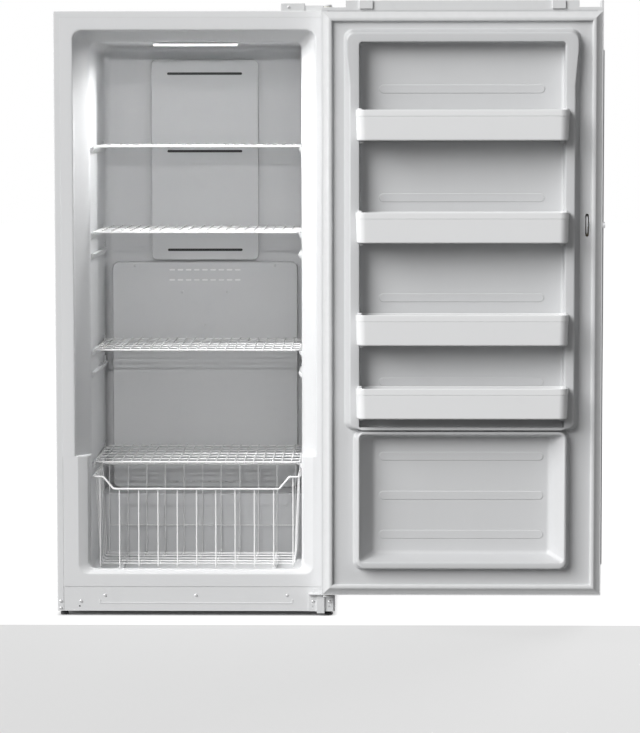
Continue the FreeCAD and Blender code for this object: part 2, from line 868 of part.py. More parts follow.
def inner_liner():
    """The vacuum-formed liner, with its front flange tucked between the wrapper's flanges."""
    body = new_body("inner_liner")
    gap = size("seam_gap")
    flange = box_outline(gap - flange_half, flange_half - gap, size("frame_height"), flange_top - gap)
    prism(body, "XZ", ZERO, size("liner_wall"), flange)
    cavity(body, size("liner_wall"), cut=False)
    cavity(body, ZERO, cut=True)
    floor = size("compartment_floor")
    top = size("basket_bottom") - size("basket_wire") / 2 - size("rest_gap")
    half = size("runner_width") / 2
    reach = size("basket_pitch") * 4
    for x in (-reach, reach):
        runner = box_outline(x - half, x + half, size("runner_front"), size("runner_back"))
        prism(body, "XY", floor, top - floor, runner)


def machine_step():
    """The front wall and the ceiling of the machine space under the foam."""
    wall = size("liner_wall")
    front = size("hump_front") + wall + size("hump_foam")
    ceiling = size("hump_top") - wall - size("hump_foam")
    return front, ceiling


def cabinet_foam():
    """Foam between the wrapper and the liner, stepped up over the machine space."""
    body = new_body("cabinet_foam")
    front, ceiling = machine_step()
    start = size("liner_wall")
    back = size("cabinet_depth") - size("back_wall")
    low = size("frame_height")
    block = box_outline(-inner_half, inner_half, low, inner_top)
    prism(body, "XZ", start, back - start, block)
    step = box_outline(-inner_half, inner_half, low, ceiling)
    prism(body, "XZ", front, back - front, step, cut=True)
    cavity(body, size("liner_wall"), cut=True, square=True)


def bulkhead():
    """The stepped steel sheet under the foam."""
    body = new_body("bulkhead")
    front, ceiling = machine_step()
    wall = size("bulkhead_wall")
    low = size("frame_height")
    back = size("cabinet_depth") - size("back_wall")
    start = size("liner_wall")
    profile = [
        (start, low - wall),
        (front + wall, low - wall),
        (front + wall, ceiling - wall),
        (back, ceiling - wall),
        (back, ceiling),
        (front, ceiling),
        (front, low),
        (start, low),
    ]
    prism(body, "YZ", -inner_half, inner_half * 2, lambda s: polygon(s, profile))


def back_panel():
    body = new_body("back_panel")
    _, ceiling = machine_step()
    wall = size("back_wall")
    sheet_outline = box_outline(-inner_half, inner_half, ceiling - size("bulkhead_wall"), inner_top)
    prism(body, "XZ", size("cabinet_depth") - wall, wall, sheet_outline)


# ================================================================ foot of the cabinet


def base_frame():
    """The steel tray between the wrapper's sides that carries the feet and the compressor."""
    body = new_body("base_frame")
    wall = size("base_wall")
    low = size("base_height")
    front = size("base_front")
    back = size("cabinet_depth") - size("rear_cover_wall")
    flange = size("base_flange")
    ring = box_outline(-inner_half, inner_half, front, back)
    prism(body, "XY", low, wall, ring)
    opening = box_outline(flange - inner_half, inner_half - flange, front + flange, back - size("base_rear"))
    prism(body, "XY", low, wall, opening, cut=True)
    top = size("frame_height") - size("bulkhead_wall")
    for left, right in ((-inner_half, wall - inner_half), (inner_half - wall, inner_half)):
        prism(body, "XY", low, top - low, box_outline(left, right, front, back))
    hole = size("foot_stud_radius") + size("running_gap")
    for x in (-size("foot_half"), size("foot_half")):
        for y in (size("foot_front"), size("foot_rear")):
            prism(body, "XY", low, wall, facet_outline(x, y, hole, 12, around=True), cut=True)


def levelling_feet():
    """Four feet: a pad, a hexagon for the spanner that ends just below the base tray, and a stud."""
    hexagon_top = size("base_height") - size("rest_gap")
    pad_height = size("foot_pad_height")
    reach = size("foot_nut_across") / math.sqrt(3)
    for side, x in (("left", -size("foot_half")), ("right", size("foot_half"))):
        for end, y in (("front", size("foot_front")), ("rear", size("foot_rear"))):
            body = new_body(f"foot_{end}_{side}")
            prism(body, "XY", ZERO, pad_height, facet_outline(0, 0, size("foot_pad_radius"), 16))
            prism(body, "XY", pad_height, hexagon_top - pad_height, facet_outline(0, 0, reach, 6))
            stud = facet_outline(0, 0, size("foot_stud_radius"), 12)
            prism(body, "XY", hexagon_top, size("foot_stud_top") - hexagon_top, stud)
            place(body, x, y)


def kick_plate():
    """The steel panel under the door, with an embossed bead whose ends turn up."""
    body = new_body("kick_plate")
    half = size("kick_half")
    wall = size("kick_wall")
    top = size("frame_height") - size("seam_gap")
    panel = box_outline(-half, half, size("wrapper_bottom"), top)
    prism(body, "XZ", ZERO, wall, panel)
    bead_half = size("kick_bead_half")
    bead_low = size("kick_bead_z")
    height = size("kick_bead_height")
    bead = [
        (-bead_half, bead_low),
        (bead_half, bead_low),
        (bead_half, bead_low + height * 3),
        (bead_half - height, bead_low + height * 3),
        (bead_half - height, bead_low + height),
        (height - bead_half, bead_low + height),
        (height - bead_half, bead_low + height * 3),
        (-bead_half, bead_low + height * 3),
    ]
    prism(body, "XZ", -size("kick_bead_proud"), size("kick_bead_proud"), lambda s: polygon(s, bead))
    shin = size("base_wall")
    low = size("base_height") - shin
    lip = size("wrapper_flange")
    tab = box_outline(lip - half, half - lip, low, low + shin)
    prism(body, "XZ", wall, lip, tab)


# ================================================================ covers and cold parts


def sheet_cover(label, half, low, high, front, back, radius):
    """A shallow moulded tray that stands off the compartment's back wall."""
    body = new_body(label)
    wall = size("cover_wall")
    prism(body, "XZ", front, back - front, box_outline(-half, half, low, high, radius))
    inside = box_outline(wall - half, half - wall, low + wall, high - wall, radius - wall)
    prism(body, "XZ", front + wall, back - front - wall, inside, cut=True)
    return body


def duct_cover():
    """The air duct's cover, with three long outlets."""
    half = size("duct_half")
    front = size("duct_front")
    wall = size("cover_wall")
    low, high = size("duct_bottom"), size("duct_top")
    body = sheet_cover("duct_cover", half, low, high, front, size("compartment_back"), size("duct_radius"))
    for z in ("slot_high", "slot_mid", "slot_low"):
        slot = box_outline(-size("slot_half"), size("slot_half"), size(z), size(z) + size("slot_height"))
        prism(body, "XZ", front, wall, slot, cut=True)


def evaporator_cover():
    """The cover over the evaporator, with two rows of short vents at the top and one at the bottom."""
    half = size("evaporator_cover_half")
    front = size("evaporator_cover_front")
    back = size("compartment_back")
    low = size("hump_top") + size("rest_gap")
    high = size("evaporator_cover_top")
    radius = size("evaporator_cover_radius")
    body = sheet_cover("evaporator_cover", half, low, high, front, back, radius)
    pitch = size("vent_pitch")
    count = int(2 * float(size("slot_half")) // float(pitch))
    run = pitch * (count - 1)
    for z in ("vent_rows_high", "vent_rows_mid", "vent_rows_low"):
        left = -run / 2 - size("vent_width") / 2
        vent = box_outline(left, left + size("vent_width"), size(z), size(z) + size("vent_height"))
        first = prism(body, "XZ", front, size("cover_wall"), vent, cut=True)
        repeat(body, first, "X", run, count)


def evaporator_coil():
    """The finned coil: a block of fins on a core, with the tube's bends showing at both ends."""
    body = new_body("evaporator_coil")
    half = size("coil_half")
    front, back = size("coil_front"), size("compartment_back")
    low, high = size("coil_bottom"), size("coil_top")
    prism(body, "XZ", front, back - front, box_outline(-half, half, low, high))
    pitch = size("fin_pitch")
    count = int(2 * float(half) // float(pitch)) - 1
    run = pitch * (count - 1)
    left = -run / 2 - size("fin_gap") / 2
    gap = box_outline(left, left + size("fin_gap"), low, high)
    slot = prism(body, "XZ", front, size("fin_depth"), gap, cut=True)
    repeat(body, slot, "X", run, count)


def defrost_heater():
    """A straight heating rod under the coil, with a clamp at each end that reaches the coil's foot."""
    z = float(size("coil_bottom") - size("heater_drop"))
    y = float((size("coil_front") + size("compartment_back")) / 2)
    half = float(size("coil_half"))
    radius = float(size("heater_radius"))
    rod = bar(V(-half, y, z), V(half, y, z), radius * 2)
    solids = [rod]
    clamp = radius * 2
    for x in (-half * 0.8, half * 0.8):
        bracket = Part.makeBox(clamp, clamp, float(size("heater_drop")), V(x, y - clamp / 2, z))
        solids.append(bracket.cut(rod))
    group("defrost_heater", solids)


def drain():
    """The trough below the coil and the tube that leads meltwater down to the pan."""
    body = new_body("drain_trough")
    half = size("trough_half")
    wall = size("trough_wall")
    low, high = size("trough_bottom"), size("trough_top")
    front = size("coil_front")
    back = size("compartment_back")
    prism(body, "XY", low, high - low, box_outline(-half, half, front, back))
    inside = box_outline(wall - half, half - wall, front + wall, back - wall)
    prism(body, "XY", low + wall, high - low - wall, inside, cut=True)
    middle = (front + back) / 2
    bore = size("drain_radius") - size("drain_wall")
    prism(body, "XY", low, wall, facet_outline(0, middle, bore, 12), cut=True)
    tube = new_body("drain_tube")
    _, ceiling = machine_step()
    foot = ceiling - size("hump_foam") / 2
    prism(tube, "XY", foot, low - foot, facet_outline(0, middle, size("drain_radius"), 12))
    prism(tube, "XY", foot, low - foot, facet_outline(0, middle, bore, 12), cut=True)


def drain_channels():
    """The hole through the foam, the liner and the bulkhead that the drain tube runs in."""
    front, back = size("coil_front"), size("compartment_back")
    hole = facet_outline(0, (front + back) / 2, size("drain_radius"), 12)
    _, ceiling = machine_step()
    for label in ("cabinet_foam", "inner_liner", "bulkhead"):
        body = doc.getObject(label)
        low = ceiling - size("bulkhead_wall")
        prism(body, "XY", low, size("hump_top") - low, hole, cut=True)
    cover = doc.getObject("evaporator_cover")
    prism(cover, "XY", size("hump_top") + size("rest_gap"), size("cover_wall"), hole, cut=True)


def axial_fan(label, radius, centre, turn=None):
    """A moulded fan: a hub bored for its shaft and four pitched blades."""
    hub_radius = float(size("fan_hub_radius"))
    depth = float(size("fan_depth"))
    bore = float(size("axle_radius") + size("running_gap"))
    hub = faceted(hub_radius, depth, V(0, 0, 0), ALONG["Z"])
    wall = float(size("fan_blade_wall"))
    solid = hub
    reach = float(radius)
    for i in range(4):
        blade = Part.makeBox(reach - hub_radius / 2, wall, depth * 1.3, V(hub_radius / 2, -wall / 2, -depth * 0.15))
        blade.translate(V(0, 0, -depth / 2))
        blade.rotate(V(0, 0, 0), V(1, 0, 0), 50)
        blade.translate(V(0, 0, depth / 2))
        blade.rotate(V(0, 0, 0), V(0, 0, 1), 90 * i)
        solid = solid.fuse(blade)
    solid = solid.cut(cylinder(bore, depth * 3, V(0, 0, -depth), ALONG["Z"]))
    thing = doc.addObject("Part::Feature", label)
    thing.Shape = solid.removeSplitter()
    thing.Placement = FreeCAD.Placement(centre, turn or FreeCAD.Rotation())
    return keep(thing, label)


def evaporator_fan():
    """The fan that blows cold air up the duct, its motor and the bracket on the back wall."""
    z = float(size("evaporator_fan_z"))
    back = float(size("compartment_back"))
    gap = float(size("rest_gap"))
    motor_depth = float(size("motor_depth"))
    fan_depth = float(size("fan_depth"))
    face = back - motor_depth
    motor = faceted(size("motor_radius"), motor_depth, V(0, back, z), -ALONG["Y"])
    axle = cylinder(size("axle_radius"), fan_depth + gap * 2, V(0, face, z), -ALONG["Y"])
    group("evaporator_fan_motor", [motor.fuse(axle)])
    turn = FreeCAD.Rotation(ALONG["Z"], -ALONG["Y"])
    axial_fan("evaporator_fan", size("fan_radius"), V(0, face - gap, z), turn)


# ================================================================ machine space


def compressor():
    """The hermetic compressor: a drawn pot of many flats with a domed lid, a seam and a foot plate."""
    body = new_body("compressor")
    radius = size("compressor_radius")
    foot = size("base_height") + size("base_wall") + size("grommet_height")
    wall = size("compressor_foot_wall")
    start = foot + wall
    crown = start + size("compressor_height")
    dome = size("compressor_dome")
    sides = 20
    half = size("compressor_foot_half")
    prism(body, "XY", foot, wall, box_outline(-half, half, -half, half))
    prism(body, "XY", start, crown - start, facet_outline(0, 0, radius, sides))

    def on_crown(a, b):
        return abs(a.z - float(crown)) < 0.01 and abs(b.z - float(crown)) < 0.01

    bevel = dress_edges(body, "Chamfer", on_crown)
    bevel.setExpression("Size", dome.text)
    seam = start + size("compressor_height") / 2
    prism(body, "XY", seam, wall * 2, facet_outline(0, 0, radius + wall, sides))
    place(body, size("compressor_x"), size("compressor_y"))
    grommets = []
    reach = float(half - size("grommet_radius"))
    low = float(size("base_height") + size("base_wall"))
    for x in (-reach, reach):
        for y in (-reach, reach):
            centre = V(x + float(size("compressor_x")), y + float(size("compressor_y")), low)
            grommets.append(faceted(size("grommet_radius"), size("grommet_height"), centre, ALONG["Z"], 10))
    group("compressor_grommets", grommets)


def condenser():
    """The forced-air condenser: a finned block on two feet, its fan ring, motor and fan."""
    body = new_body("condenser")
    half = size("condenser_width") / 2
    front, back = size("condenser_front"), size("condenser_back")
    low = size("base_height") + size("base_wall")
    height = size("condenser_height")
    lift = size("condenser_lift")
    prism(body, "XY", low + lift, height, box_outline(-half, half, front, back))
    rail = size("ledge_width")
    for y in (front, back - rail):
        prism(body, "XY", low, lift, box_outline(-half, half, y, y + rail))
    pitch = size("fin_pitch")
    count = int(float(back - front) // float(pitch))
    run = pitch * (count - 1)
    left = (front + back) / 2 - run / 2 - size("fin_gap") / 2
    gap = box_outline(-half, half - size("fin_gap"), left, left + size("fin_gap"))
    slot = prism(body, "XY", low + lift * 3, height, gap, cut=True)
    repeat(body, slot, "Y", run, count)
    place(body, size("condenser_x"))


def refrigerant_lines():
    """The discharge line from the compressor to the condenser, and the suction line up to the foam."""
    tube = float(size("tube_radius")) * 2
    x, y = float(size("compressor_x")), float(size("compressor_y"))
    foot = size("base_height") + size("base_wall") + size("grommet_height")
    crown = float(foot + size("compressor_foot_wall") + size("compressor_height"))
    level = crown + tube
    offset = float(size("compressor_radius") - size("compressor_dome")) / 2
    condenser_top = float(size("base_height") + size("base_wall") + size("condenser_lift"))
    condenser_top += float(size("condenser_height"))
    far = float(size("condenser_x"))
    discharge = [
        V(x, y + offset, crown),
        V(x, y + offset, level),
        V(far, y + offset, level),
        V(far, y + offset, condenser_top),
    ]
    front, ceiling = machine_step()
    rise = float(front + size("bulkhead_wall")) + tube * 2
    suction = [
        V(x, y - offset, crown),
        V(x, y - offset, level),
        V(x, rise, level),
        V(x, rise, float(ceiling - size("bulkhead_wall"))),
    ]
    group("refrigerant_lines", [bent_wire(discharge, tube), bent_wire(suction, tube)])


def condenser_fan():
    """A shroud plate on the base tray, a motor on its spider and the fan in front of it."""
    x = size("condenser_fan_x")
    z = float(size("condenser_fan_z"))
    y = float((size("condenser_front") + size("condenser_back")) / 2)
    low = size("base_height") + size("base_wall")
    ring_wall = size("condenser_ring_wall")
    radius = size("fan_radius")
    body = new_body("condenser_shroud")
    reach = radius + ring_wall * 3
    plate = box_outline(y - reach, y + reach, low, z + reach)
    prism(body, "YZ", x, ring_wall, plate)
    bore = facet_outline(y, z, radius + ring_wall, 24)
    prism(body, "YZ", x, ring_wall, bore, cut=True)
    spoke = ring_wall * 2
    prism(body, "YZ", x, ring_wall, box_outline(y - spoke / 2, y + spoke / 2, z - reach, z + reach))
    foot = box_outline(x, x + ring_wall * 6, y - reach, y + reach)
    prism(body, "XY", low, ring_wall, foot)
    motor_depth = float(size("motor_depth"))
    face = float(x)
    gap = float(size("rest_gap"))
    behind = face + float(ring_wall)
    motor = faceted(size("motor_radius"), motor_depth, V(behind, y, z), ALONG["X"])
    axle_length = float(ring_wall) + gap * 2 + float(size("fan_depth"))
    axle = cylinder(size("axle_radius"), axle_length, V(behind, y, z), -ALONG["X"])
    shaft_hole = facet_outline(y, z, size("axle_radius"), 8, around=True)
    prism(body, "YZ", x, ring_wall, shaft_hole, cut=True)
    group("condenser_fan_motor", [motor.fuse(axle)])
    turn = FreeCAD.Rotation(ALONG["Z"], -ALONG["X"])
    axial_fan("condenser_fan", radius, V(face - gap, y, z), turn)


def drain_pan():
    """The pan that catches meltwater, hung from the bulkhead's ceiling by its two side flanges."""
    body = new_body("drain_pan")
    _, ceiling = machine_step()
    half = size("drain_pan_half")
    front, back = size("drain_pan_front"), size("drain_pan_back")
    wall = size("drain_pan_wall")
    height = size("drain_pan_height")
    top = ceiling - size("bulkhead_wall") - size("rest_gap")
    hanger = height * 1.5
    low = top - hanger - height
    prism(body, "XY", low, height, box_outline(-half, half, front, back))
    inside = box_outline(wall - half, half - wall, front + wall, back - wall)
    prism(body, "XY", low + wall, height - wall, inside, cut=True)
    for left, right in ((-half, wall - half), (half - wall, half)):
        prism(body, "XY", low, hanger + height, box_outline(left, right, front, back))
    place(body, size("drain_pan_x"))


def rear_cover():
    """The louvred steel cover over the machine space."""
    body = new_body("rear_cover")
    _, ceiling = machine_step()
    wall = size("rear_cover_wall")
    low = size("base_height")
    high = ceiling - size("bulkhead_wall")
    panel = box_outline(-inner_half, inner_half, low, high)
    start = size("cabinet_depth") - wall
    prism(body, "XZ", start, wall, panel)
    pitch = size("louvre_pitch")
    height = size("louvre_height")
    count = int(float(high - low) // float(pitch)) - 3
    first_low = (low + high) / 2 - pitch * (count - 1) / 2
    for centre in (-inner_half / 2, inner_half / 2):
        left, right = centre - size("louvre_half"), centre + size("louvre_half")
        slot = prism(body, "XZ", start, wall, box_outline(left, right, first_low, first_low + height), cut=True)
        repeat(body, slot, "Z", pitch * (count - 1), count)


# ================================================================ light, ledges, shelves, basket


def light_bar():
    """The light on the compartment's ceiling: a base and a lens under it."""
    half = size("light_half")
    front = size("light_front")
    back = front + size("light_depth")
    top = size("compartment_top")
    base = size("light_base")
    body = new_body("light_base")
    prism(body, "XY", top - base, base, box_outline(-half, half, front, back))
    lens = new_body("light_lens")
    inset = size("light_base") / 2
    depth = size("light_lens")
    outline = box_outline(inset - half, half - inset, front + inset, back - inset, inset)
    prism(lens, "XY", top - base - depth, depth, outline)


def shelf_rest(z):
    """The height that a shelf's frame wire lies at when its deck wires' middle is at z."""
    return size(z) - size("deck_wire") / 2 - size("frame_wire")


def ledge(z, side):
    """One ledge on a side wall, its top at z: a hooked strip with a raised tail at the back."""
    wall = float(size("compartment_half"))
    width, height = float(size("ledge_width")), float(size("ledge_height"))
    lip = float(size("ledge_wall"))
    profile = [
        V(side * wall, 0, z),
        V(side * (wall - width), 0, z),
        V(side * (wall - width), 0, z - lip),
        V(side * (wall - lip), 0, z - height),
        V(side * wall, 0, z - height),
    ]
    front, back = float(size("ledge_front")), float(size("ledge_back"))
    face = Part.Face(Part.makePolygon(profile + profile[:1]))
    face.translate(V(0, front, 0))
    strip = face.extrude(V(0, back - front, 0))
    tail = float(size("ledge_tail"))
    corner = V(min(side * wall, side * (wall - lip)), back, z - height)
    return strip.fuse(Part.makeBox(lip, tail, height + tail, corner)).removeSplitter()


def shelf_ledges():
    """Side ledges for the four shelves, and two spare pairs between them."""
    gap = float(size("rest_gap"))
    tops = [float(shelf_rest(name)) - gap for name in ("shelf_1", "shelf_2", "shelf_3", "shelf_4")]
    tops += [float(size("spare_ledge_high")), float(size("spare_ledge_low"))]
    group("shelf_ledges", [ledge(z, side) for z in tops for side in (-1, 1)])


def wire_shelf(label, name):
    """A wire shelf: a frame with rounded corners, cross wires in it and deck wires lying on top."""
    frame = float(size("frame_wire"))
    deck = float(size("deck_wire"))
    cross = float(size("cross_wire"))
    half = float(size("shelf_half")) - frame / 2
    front = float(size("shelf_front")) + frame / 2
    back = float(size("shelf_back")) - frame / 2
    z = float(shelf_rest(name)) + frame / 2
    corner = float(size("shelf_radius"))
    sides = [
        V(-half + corner, front, z),
        V(half - corner, front, z),
        V(half, front + corner, z),
        V(half, back - corner, z),
        V(half - corner, back, z),
        V(-half + corner, back, z),
        V(-half, back - corner, z),
        V(-half, front + corner, z),
    ]
    solids = [bent_wire(sides, frame, closed=True)]
    rows = int((back - front) // float(size("cross_pitch")))
    step = (back - front) / (rows + 1)
    reach = half - frame / 2
    level = z + frame / 2 - cross / 2
    for i in range(1, rows + 1):
        y = front + step * i
        solids.append(bar(V(-reach, y, level), V(reach, y, level), cross, 4))
    top = z + frame / 2 + deck / 2
    pitch = float(size("deck_pitch"))
    count = 2 * int((half - corner) // pitch) + 1
    for i in range(count):
        x = pitch * (i - (count - 1) / 2)
        solids.append(bar(V(x, front - frame / 2, top), V(x, back + frame / 2, top), deck, 4))
    group(label, solids)


def basket():
    """The pull-out basket: a dipped rim, a middle ring and two families of U-shaped wires."""
    wire = float(size("basket_wire"))
    rim = float(size("basket_rim_wire"))
    half, base_half = float(size("basket_half")), float(size("basket_base_half"))
    front, back = float(size("basket_front")), float(size("basket_back"))
    base_back = float(size("basket_base_back"))
    top, bottom = float(size("basket_rim")), float(size("basket_bottom"))
    dip = top - float(size("basket_dip"))
    dip_half, flat_half = float(size("basket_dip_half")), float(size("basket_dip_flat_half"))
    rim_path = [
        V(half, back, top),
        V(-half, back, top),
        V(-half, front, top),
        V(-dip_half, front, top),
        V(-flat_half, front, dip),
        V(flat_half, front, dip),
        V(dip_half, front, top),
        V(half, front, top),
    ]
    solids = [bent_wire(rim_path, rim, closed=True)]
    inside = (rim + wire) / 2
    pitch = float(size("basket_pitch"))
    count = 2 * int(base_half // pitch) + 1
    for i in range(count):
        x = pitch * (i - (count - 1) / 2)
        high = dip if abs(x) < flat_half else top
        path = [
            V(x, front + inside, high),
            V(x, front + inside, bottom),
            V(x, base_back, bottom),
            V(x, back - inside, top),
        ]
        solids.append(bent_wire(path, wire))
    rows = int((base_back - front) // float(size("basket_cross_pitch")))
    step = (base_back - front) / (rows + 1)
    for i in range(1, rows + 1):
        y = front + step * i
        path = [
            V(-half + inside, y, top),
            V(-base_half - wire, y, bottom + wire),
            V(base_half + wire, y, bottom + wire),
            V(half - inside, y, top),
        ]
        solids.append(bent_wire(path, wire))
    middle = float(size("basket_mid"))
    share = (middle - bottom) / (top - bottom)
    behind = base_back + (back - inside - base_back) * share + wire
    reach = base_half + wire
    solids.append(bar(V(-reach, behind, middle), V(reach, behind, middle), wire))
    group("basket", solids)


# ================================================================ door

skin_inner_half = size("door_half") - size("skin_wall")
lip_half = size("door_half") - size("skin_lip")
panel_low = size("door_bottom") + size("bottom_cap_height")
panel_high = size("door_top")


def door_skin():
    """The outer door sheet: a front and two sides whose edges turn in behind the gasket."""
    body = new_body("door_skin")
    half = size("door_half")
    front, back, wall = size("door_front"), size("door_back"), size("skin_wall")
    outline = [
        (-half, front),
        (half, front),
        (half, back),
        (lip_half, back),
        (lip_half, back - wall),
        (skin_inner_half, back - wall),
        (skin_inner_half, front + wall),
        (-skin_inner_half, front + wall),
        (-skin_inner_half, back - wall),
        (-lip_half, back - wall),
        (-lip_half, back),
        (-half, back),
    ]
    prism(body, "XY", panel_low, panel_high - panel_low, lambda s: polygon(s, outline))
    lock_hole = facet_outline(size("lock_y"), size("lock_z"), size("lock_radius"), 16, around=True)
    prism(body, "YZ", -half, wall, lock_hole, cut=True)
    swing_open(body)


def door_volume(body, inset, slab_half, slab_low, slab_high, square=False):
    """The door's inner side as one volume: a slab with raised dikes, a bin pocket and a tub."""
    face = size("door_back") - inset
    front = size("door_front") + size("skin_wall")
    dike = size("dike_back") - inset
    radius = None if square else size("dike_radius")
    hold = inset + (size("dike_radius") / 3 if square else ZERO)
    prism(body, "XZ", front, face - front, box_outline(-slab_half, slab_half, slab_low, slab_high))
    foot_half = size("dike_foot_half") - hold
    top_half = size("dike_half") - hold
    low = size("dike_bottom") + hold
    foot = eased_box(-foot_half, foot_half, low, size("dike_foot_top") - hold, radius)
    crest = eased_box(-top_half, top_half, low, size("dike_top") - hold, radius)
    loft(body, "XZ", [(face, foot), (dike, crest)])
    foot_half = size("tub_foot_half") - hold
    top_half = size("tub_half") - hold
    low, high = size("tub_bottom") + hold, size("tub_top") - hold
    foot = eased_box(-foot_half, foot_half, low, high, radius)
    crest = eased_box(-top_half, top_half, low, high, radius)
    loft(body, "XZ", [(face, foot), (dike, crest)])
    # the pocket behind the bins, open at its lower end towards the tub's top edge
    pocket_half = size("dike_inner_half") + inset
    pocket_low, pocket_high = size("pocket_bottom") - inset, size("dike_inner_top") + inset
    floor = size("pocket_back") - inset
    pocket = box_outline(-pocket_half, pocket_half, pocket_low, pocket_high)
    prism(body, "XZ", floor, dike - floor, pocket, cut=True)
    # the tub, with four sloping sides
    floor_half = size("tub_floor_half") + inset
    mouth_half = size("tub_inner_half") + inset
    floor_outline = eased_box(
        -floor_half, floor_half, size("tub_floor_bottom") - inset, size("tub_floor_top") + inset, radius
    )
    mouth_outline = eased_box(
        -mouth_half, mouth_half, size("tub_inner_bottom") - inset, size("tub_inner_top") + inset, radius
    )
    loft(body, "XZ", [(floor, floor_outline), (dike, mouth_outline)], cut=True)


def lock_chamber(body):
    """Room in the door for the lock's case, spindle and cam."""
    start = -size("door_half")
    gap = size("lock_slot_gap")
    near = size("lock_cam_x") - size("lock_cam_wall") / 2 - gap
    bore = facet_outline(size("lock_y"), size("lock_z"), size("lock_radius"), 16, around=True)
    prism(body, "YZ", start, near - start, bore, cut=True)
    reach = size("lock_cam_half") + gap
    far = near + size("lock_cam_wall") + gap * 2
    room = box_outline(near, far, size("lock_z") - reach, size("lock_z") + reach)
    low = size("lock_y") - reach
    prism(body, "XZ", low, size("door_back") - low, room, cut=True)


def door_foam():
    body = new_body("door_foam")
    door_volume(body, size("door_liner_wall"), skin_inner_half, panel_low, panel_high, square=True)
    lock_chamber(body)
    swing_open(body)


def door_liner():
    """The vacuum-formed inner door: its front volume less the same volume set back by the wall."""
    outer = new_body("door_liner_outer", kept=False)
    edge = lip_half - size("seam_gap")
    door_volume(outer, ZERO, edge, panel_low, panel_high)
    ribs = [1581, 1260, 963, 712]
    floor = size("pocket_back")
    low_step = (size("tub_floor_top") - size("tub_floor_bottom")) / 3
    for z in ribs:
        rib = capsule_outline(0, z, size("rib_half"), size("rib_height") / 2)
        prism(outer, "XZ", floor, size("rib_proud"), rib)
    for i in range(3):
        z = size("tub_floor_bottom") + low_step * (i + 0.5)
        rib = capsule_outline(0, z, size("rib_half"), size("rib_height") / 2)
        prism(outer, "XZ", floor, size("rib_proud"), rib)
    inner = new_body("door_liner_inner", kept=False)
    door_volume(inner, size("door_liner_wall"), skin_inner_half, panel_low - 1, panel_high + 1)
    shell = doc.addObject("Part::Cut", "door_liner_shell")
    shell.Base = outer
    shell.Tool = inner
    lugs = doc.addObject("Part::MultiFuse", "door_liner_with_lugs")
    pieces = [shell]
    width, height = size("lug_width"), size("lug_height")
    for name in ("bin_1", "bin_2", "bin_3", "bin_4"):
        for side in (-1, 1):
            lug = doc.addObject("Part::Box", "bin_lug")
            lug.setExpression("Length", width.text)
            depth = size("dike_back") - size("pocket_back") - size("bin_gap")
            lug.setExpression("Width", depth.text)
            lug.setExpression("Height", height.text)
            inner_x = size("dike_inner_half")
            x = inner_x - width if side > 0 else -inner_x
            place(lug, x, size("pocket_back"), size(name) - size("rest_gap") - height)
            pieces.append(lug)
    lugs.Shapes = pieces
    slot = doc.addObject("Part::Box", "lock_cam_slot")
    gap = size("lock_slot_gap")
    slot.setExpression("Length", (size("lock_cam_wall") + gap * 2).text)
    slot.setExpression("Width", (size("door_liner_wall") * 3).text)
    slot.setExpression("Height", ((size("lock_cam_half") + gap) * 2).text)
    place(
        slot,
        size("lock_cam_x") - size("lock_cam_wall") / 2 - gap,
        size("door_back") - size("door_liner_wall") * 2,
        size("lock_z") - size("lock_cam_half") - gap,
    )
    liner = doc.addObject("Part::Cut", "door_liner")
    liner.Base = lugs
    liner.Tool = slot
    swing_open(liner)
    keep(liner, "door_liner")


def door_gasket():
    """The magnetic gasket: a base strip and a soft bulb, square round the door."""
    body = new_body("door_gasket")
    half = lip_half
    low = size("door_bottom") + size("skin_lip")
    high = size("door_top") - size("skin_lip")
    width = size("gasket_width")
    face = size("door_back")
    base = size("gasket_base")
    inset = size("gasket_bulb_inset")
    bulb = -face - base - size("gasket_seal_gap")
    for start, depth, shrink in ((face, base, ZERO), (face + base, bulb, inset)):
        ring = box_outline(shrink - half, half - shrink, low + shrink, high - shrink)
        prism(body, "XZ", start, depth, ring)
    inner = width
    hole = box_outline(inner - half, half - inner, low + inner, high - inner)
    prism(body, "XZ", face, base + bulb, hole, cut=True)
    inner = width - inset
    hole = box_outline(inner - half, half - inner, low + inner, high - inner)
    front = -size("gasket_seal_gap")

    def on_front(a, b):
        return abs(a.y - float(front)) < 0.01 and abs(b.y - float(front)) < 0.01

    rounding = dress_edges(body, "Fillet", on_front)
    rounding.setExpression("Radius", inset.text)
    swing_open(body)


def door_caps():
    """Moulded caps that close the door sheet at its bottom and top."""
    half = size("door_half")
    front, back = size("door_front"), size("door_back")
    bottom = new_body("door_bottom_cap")
    low = size("door_bottom")
    prism(bottom, "XY", low, size("bottom_cap_height"), box_outline(-half, half, front, back))
    bush = facet_outline(size("hinge_x"), size("hinge_y"), size("bush_radius"), 12)
    prism(bottom, "XY", low, size("bottom_cap_height"), bush, cut=True)
    swing_open(bottom)

    top = new_body("door_top_cap")
    base = size("door_top")
    floor = base + size("top_cap_height")
    prism(top, "XY", base, size("top_cap_height"), box_outline(-half, half, front, back))
    rise = half - size("cap_recess")
    prism(top, "XY", floor, size("top_cap_rise"), box_outline(-rise, rise, front, back))
    post = size("cap_post")
    prism(top, "XY", floor, size("top_cap_rise"), box_outline(-half, post - half, front, back))
    block_top = floor + size("top_cap_rise")
    inner, outer = size("cap_block_inner"), size("cap_block_outer")
    for left, right in ((-outer, -inner), (inner, outer)):
        block = box_outline(left, right, back, back + size("cap_block_proud"))
        block_low = base + size("top_cap_height") / 2
        prism(top, "XY", block_low, block_top - block_low, block)
    prism(top, "XY", base, size("top_cap_height"), bush, cut=True)
    swing_open(top)


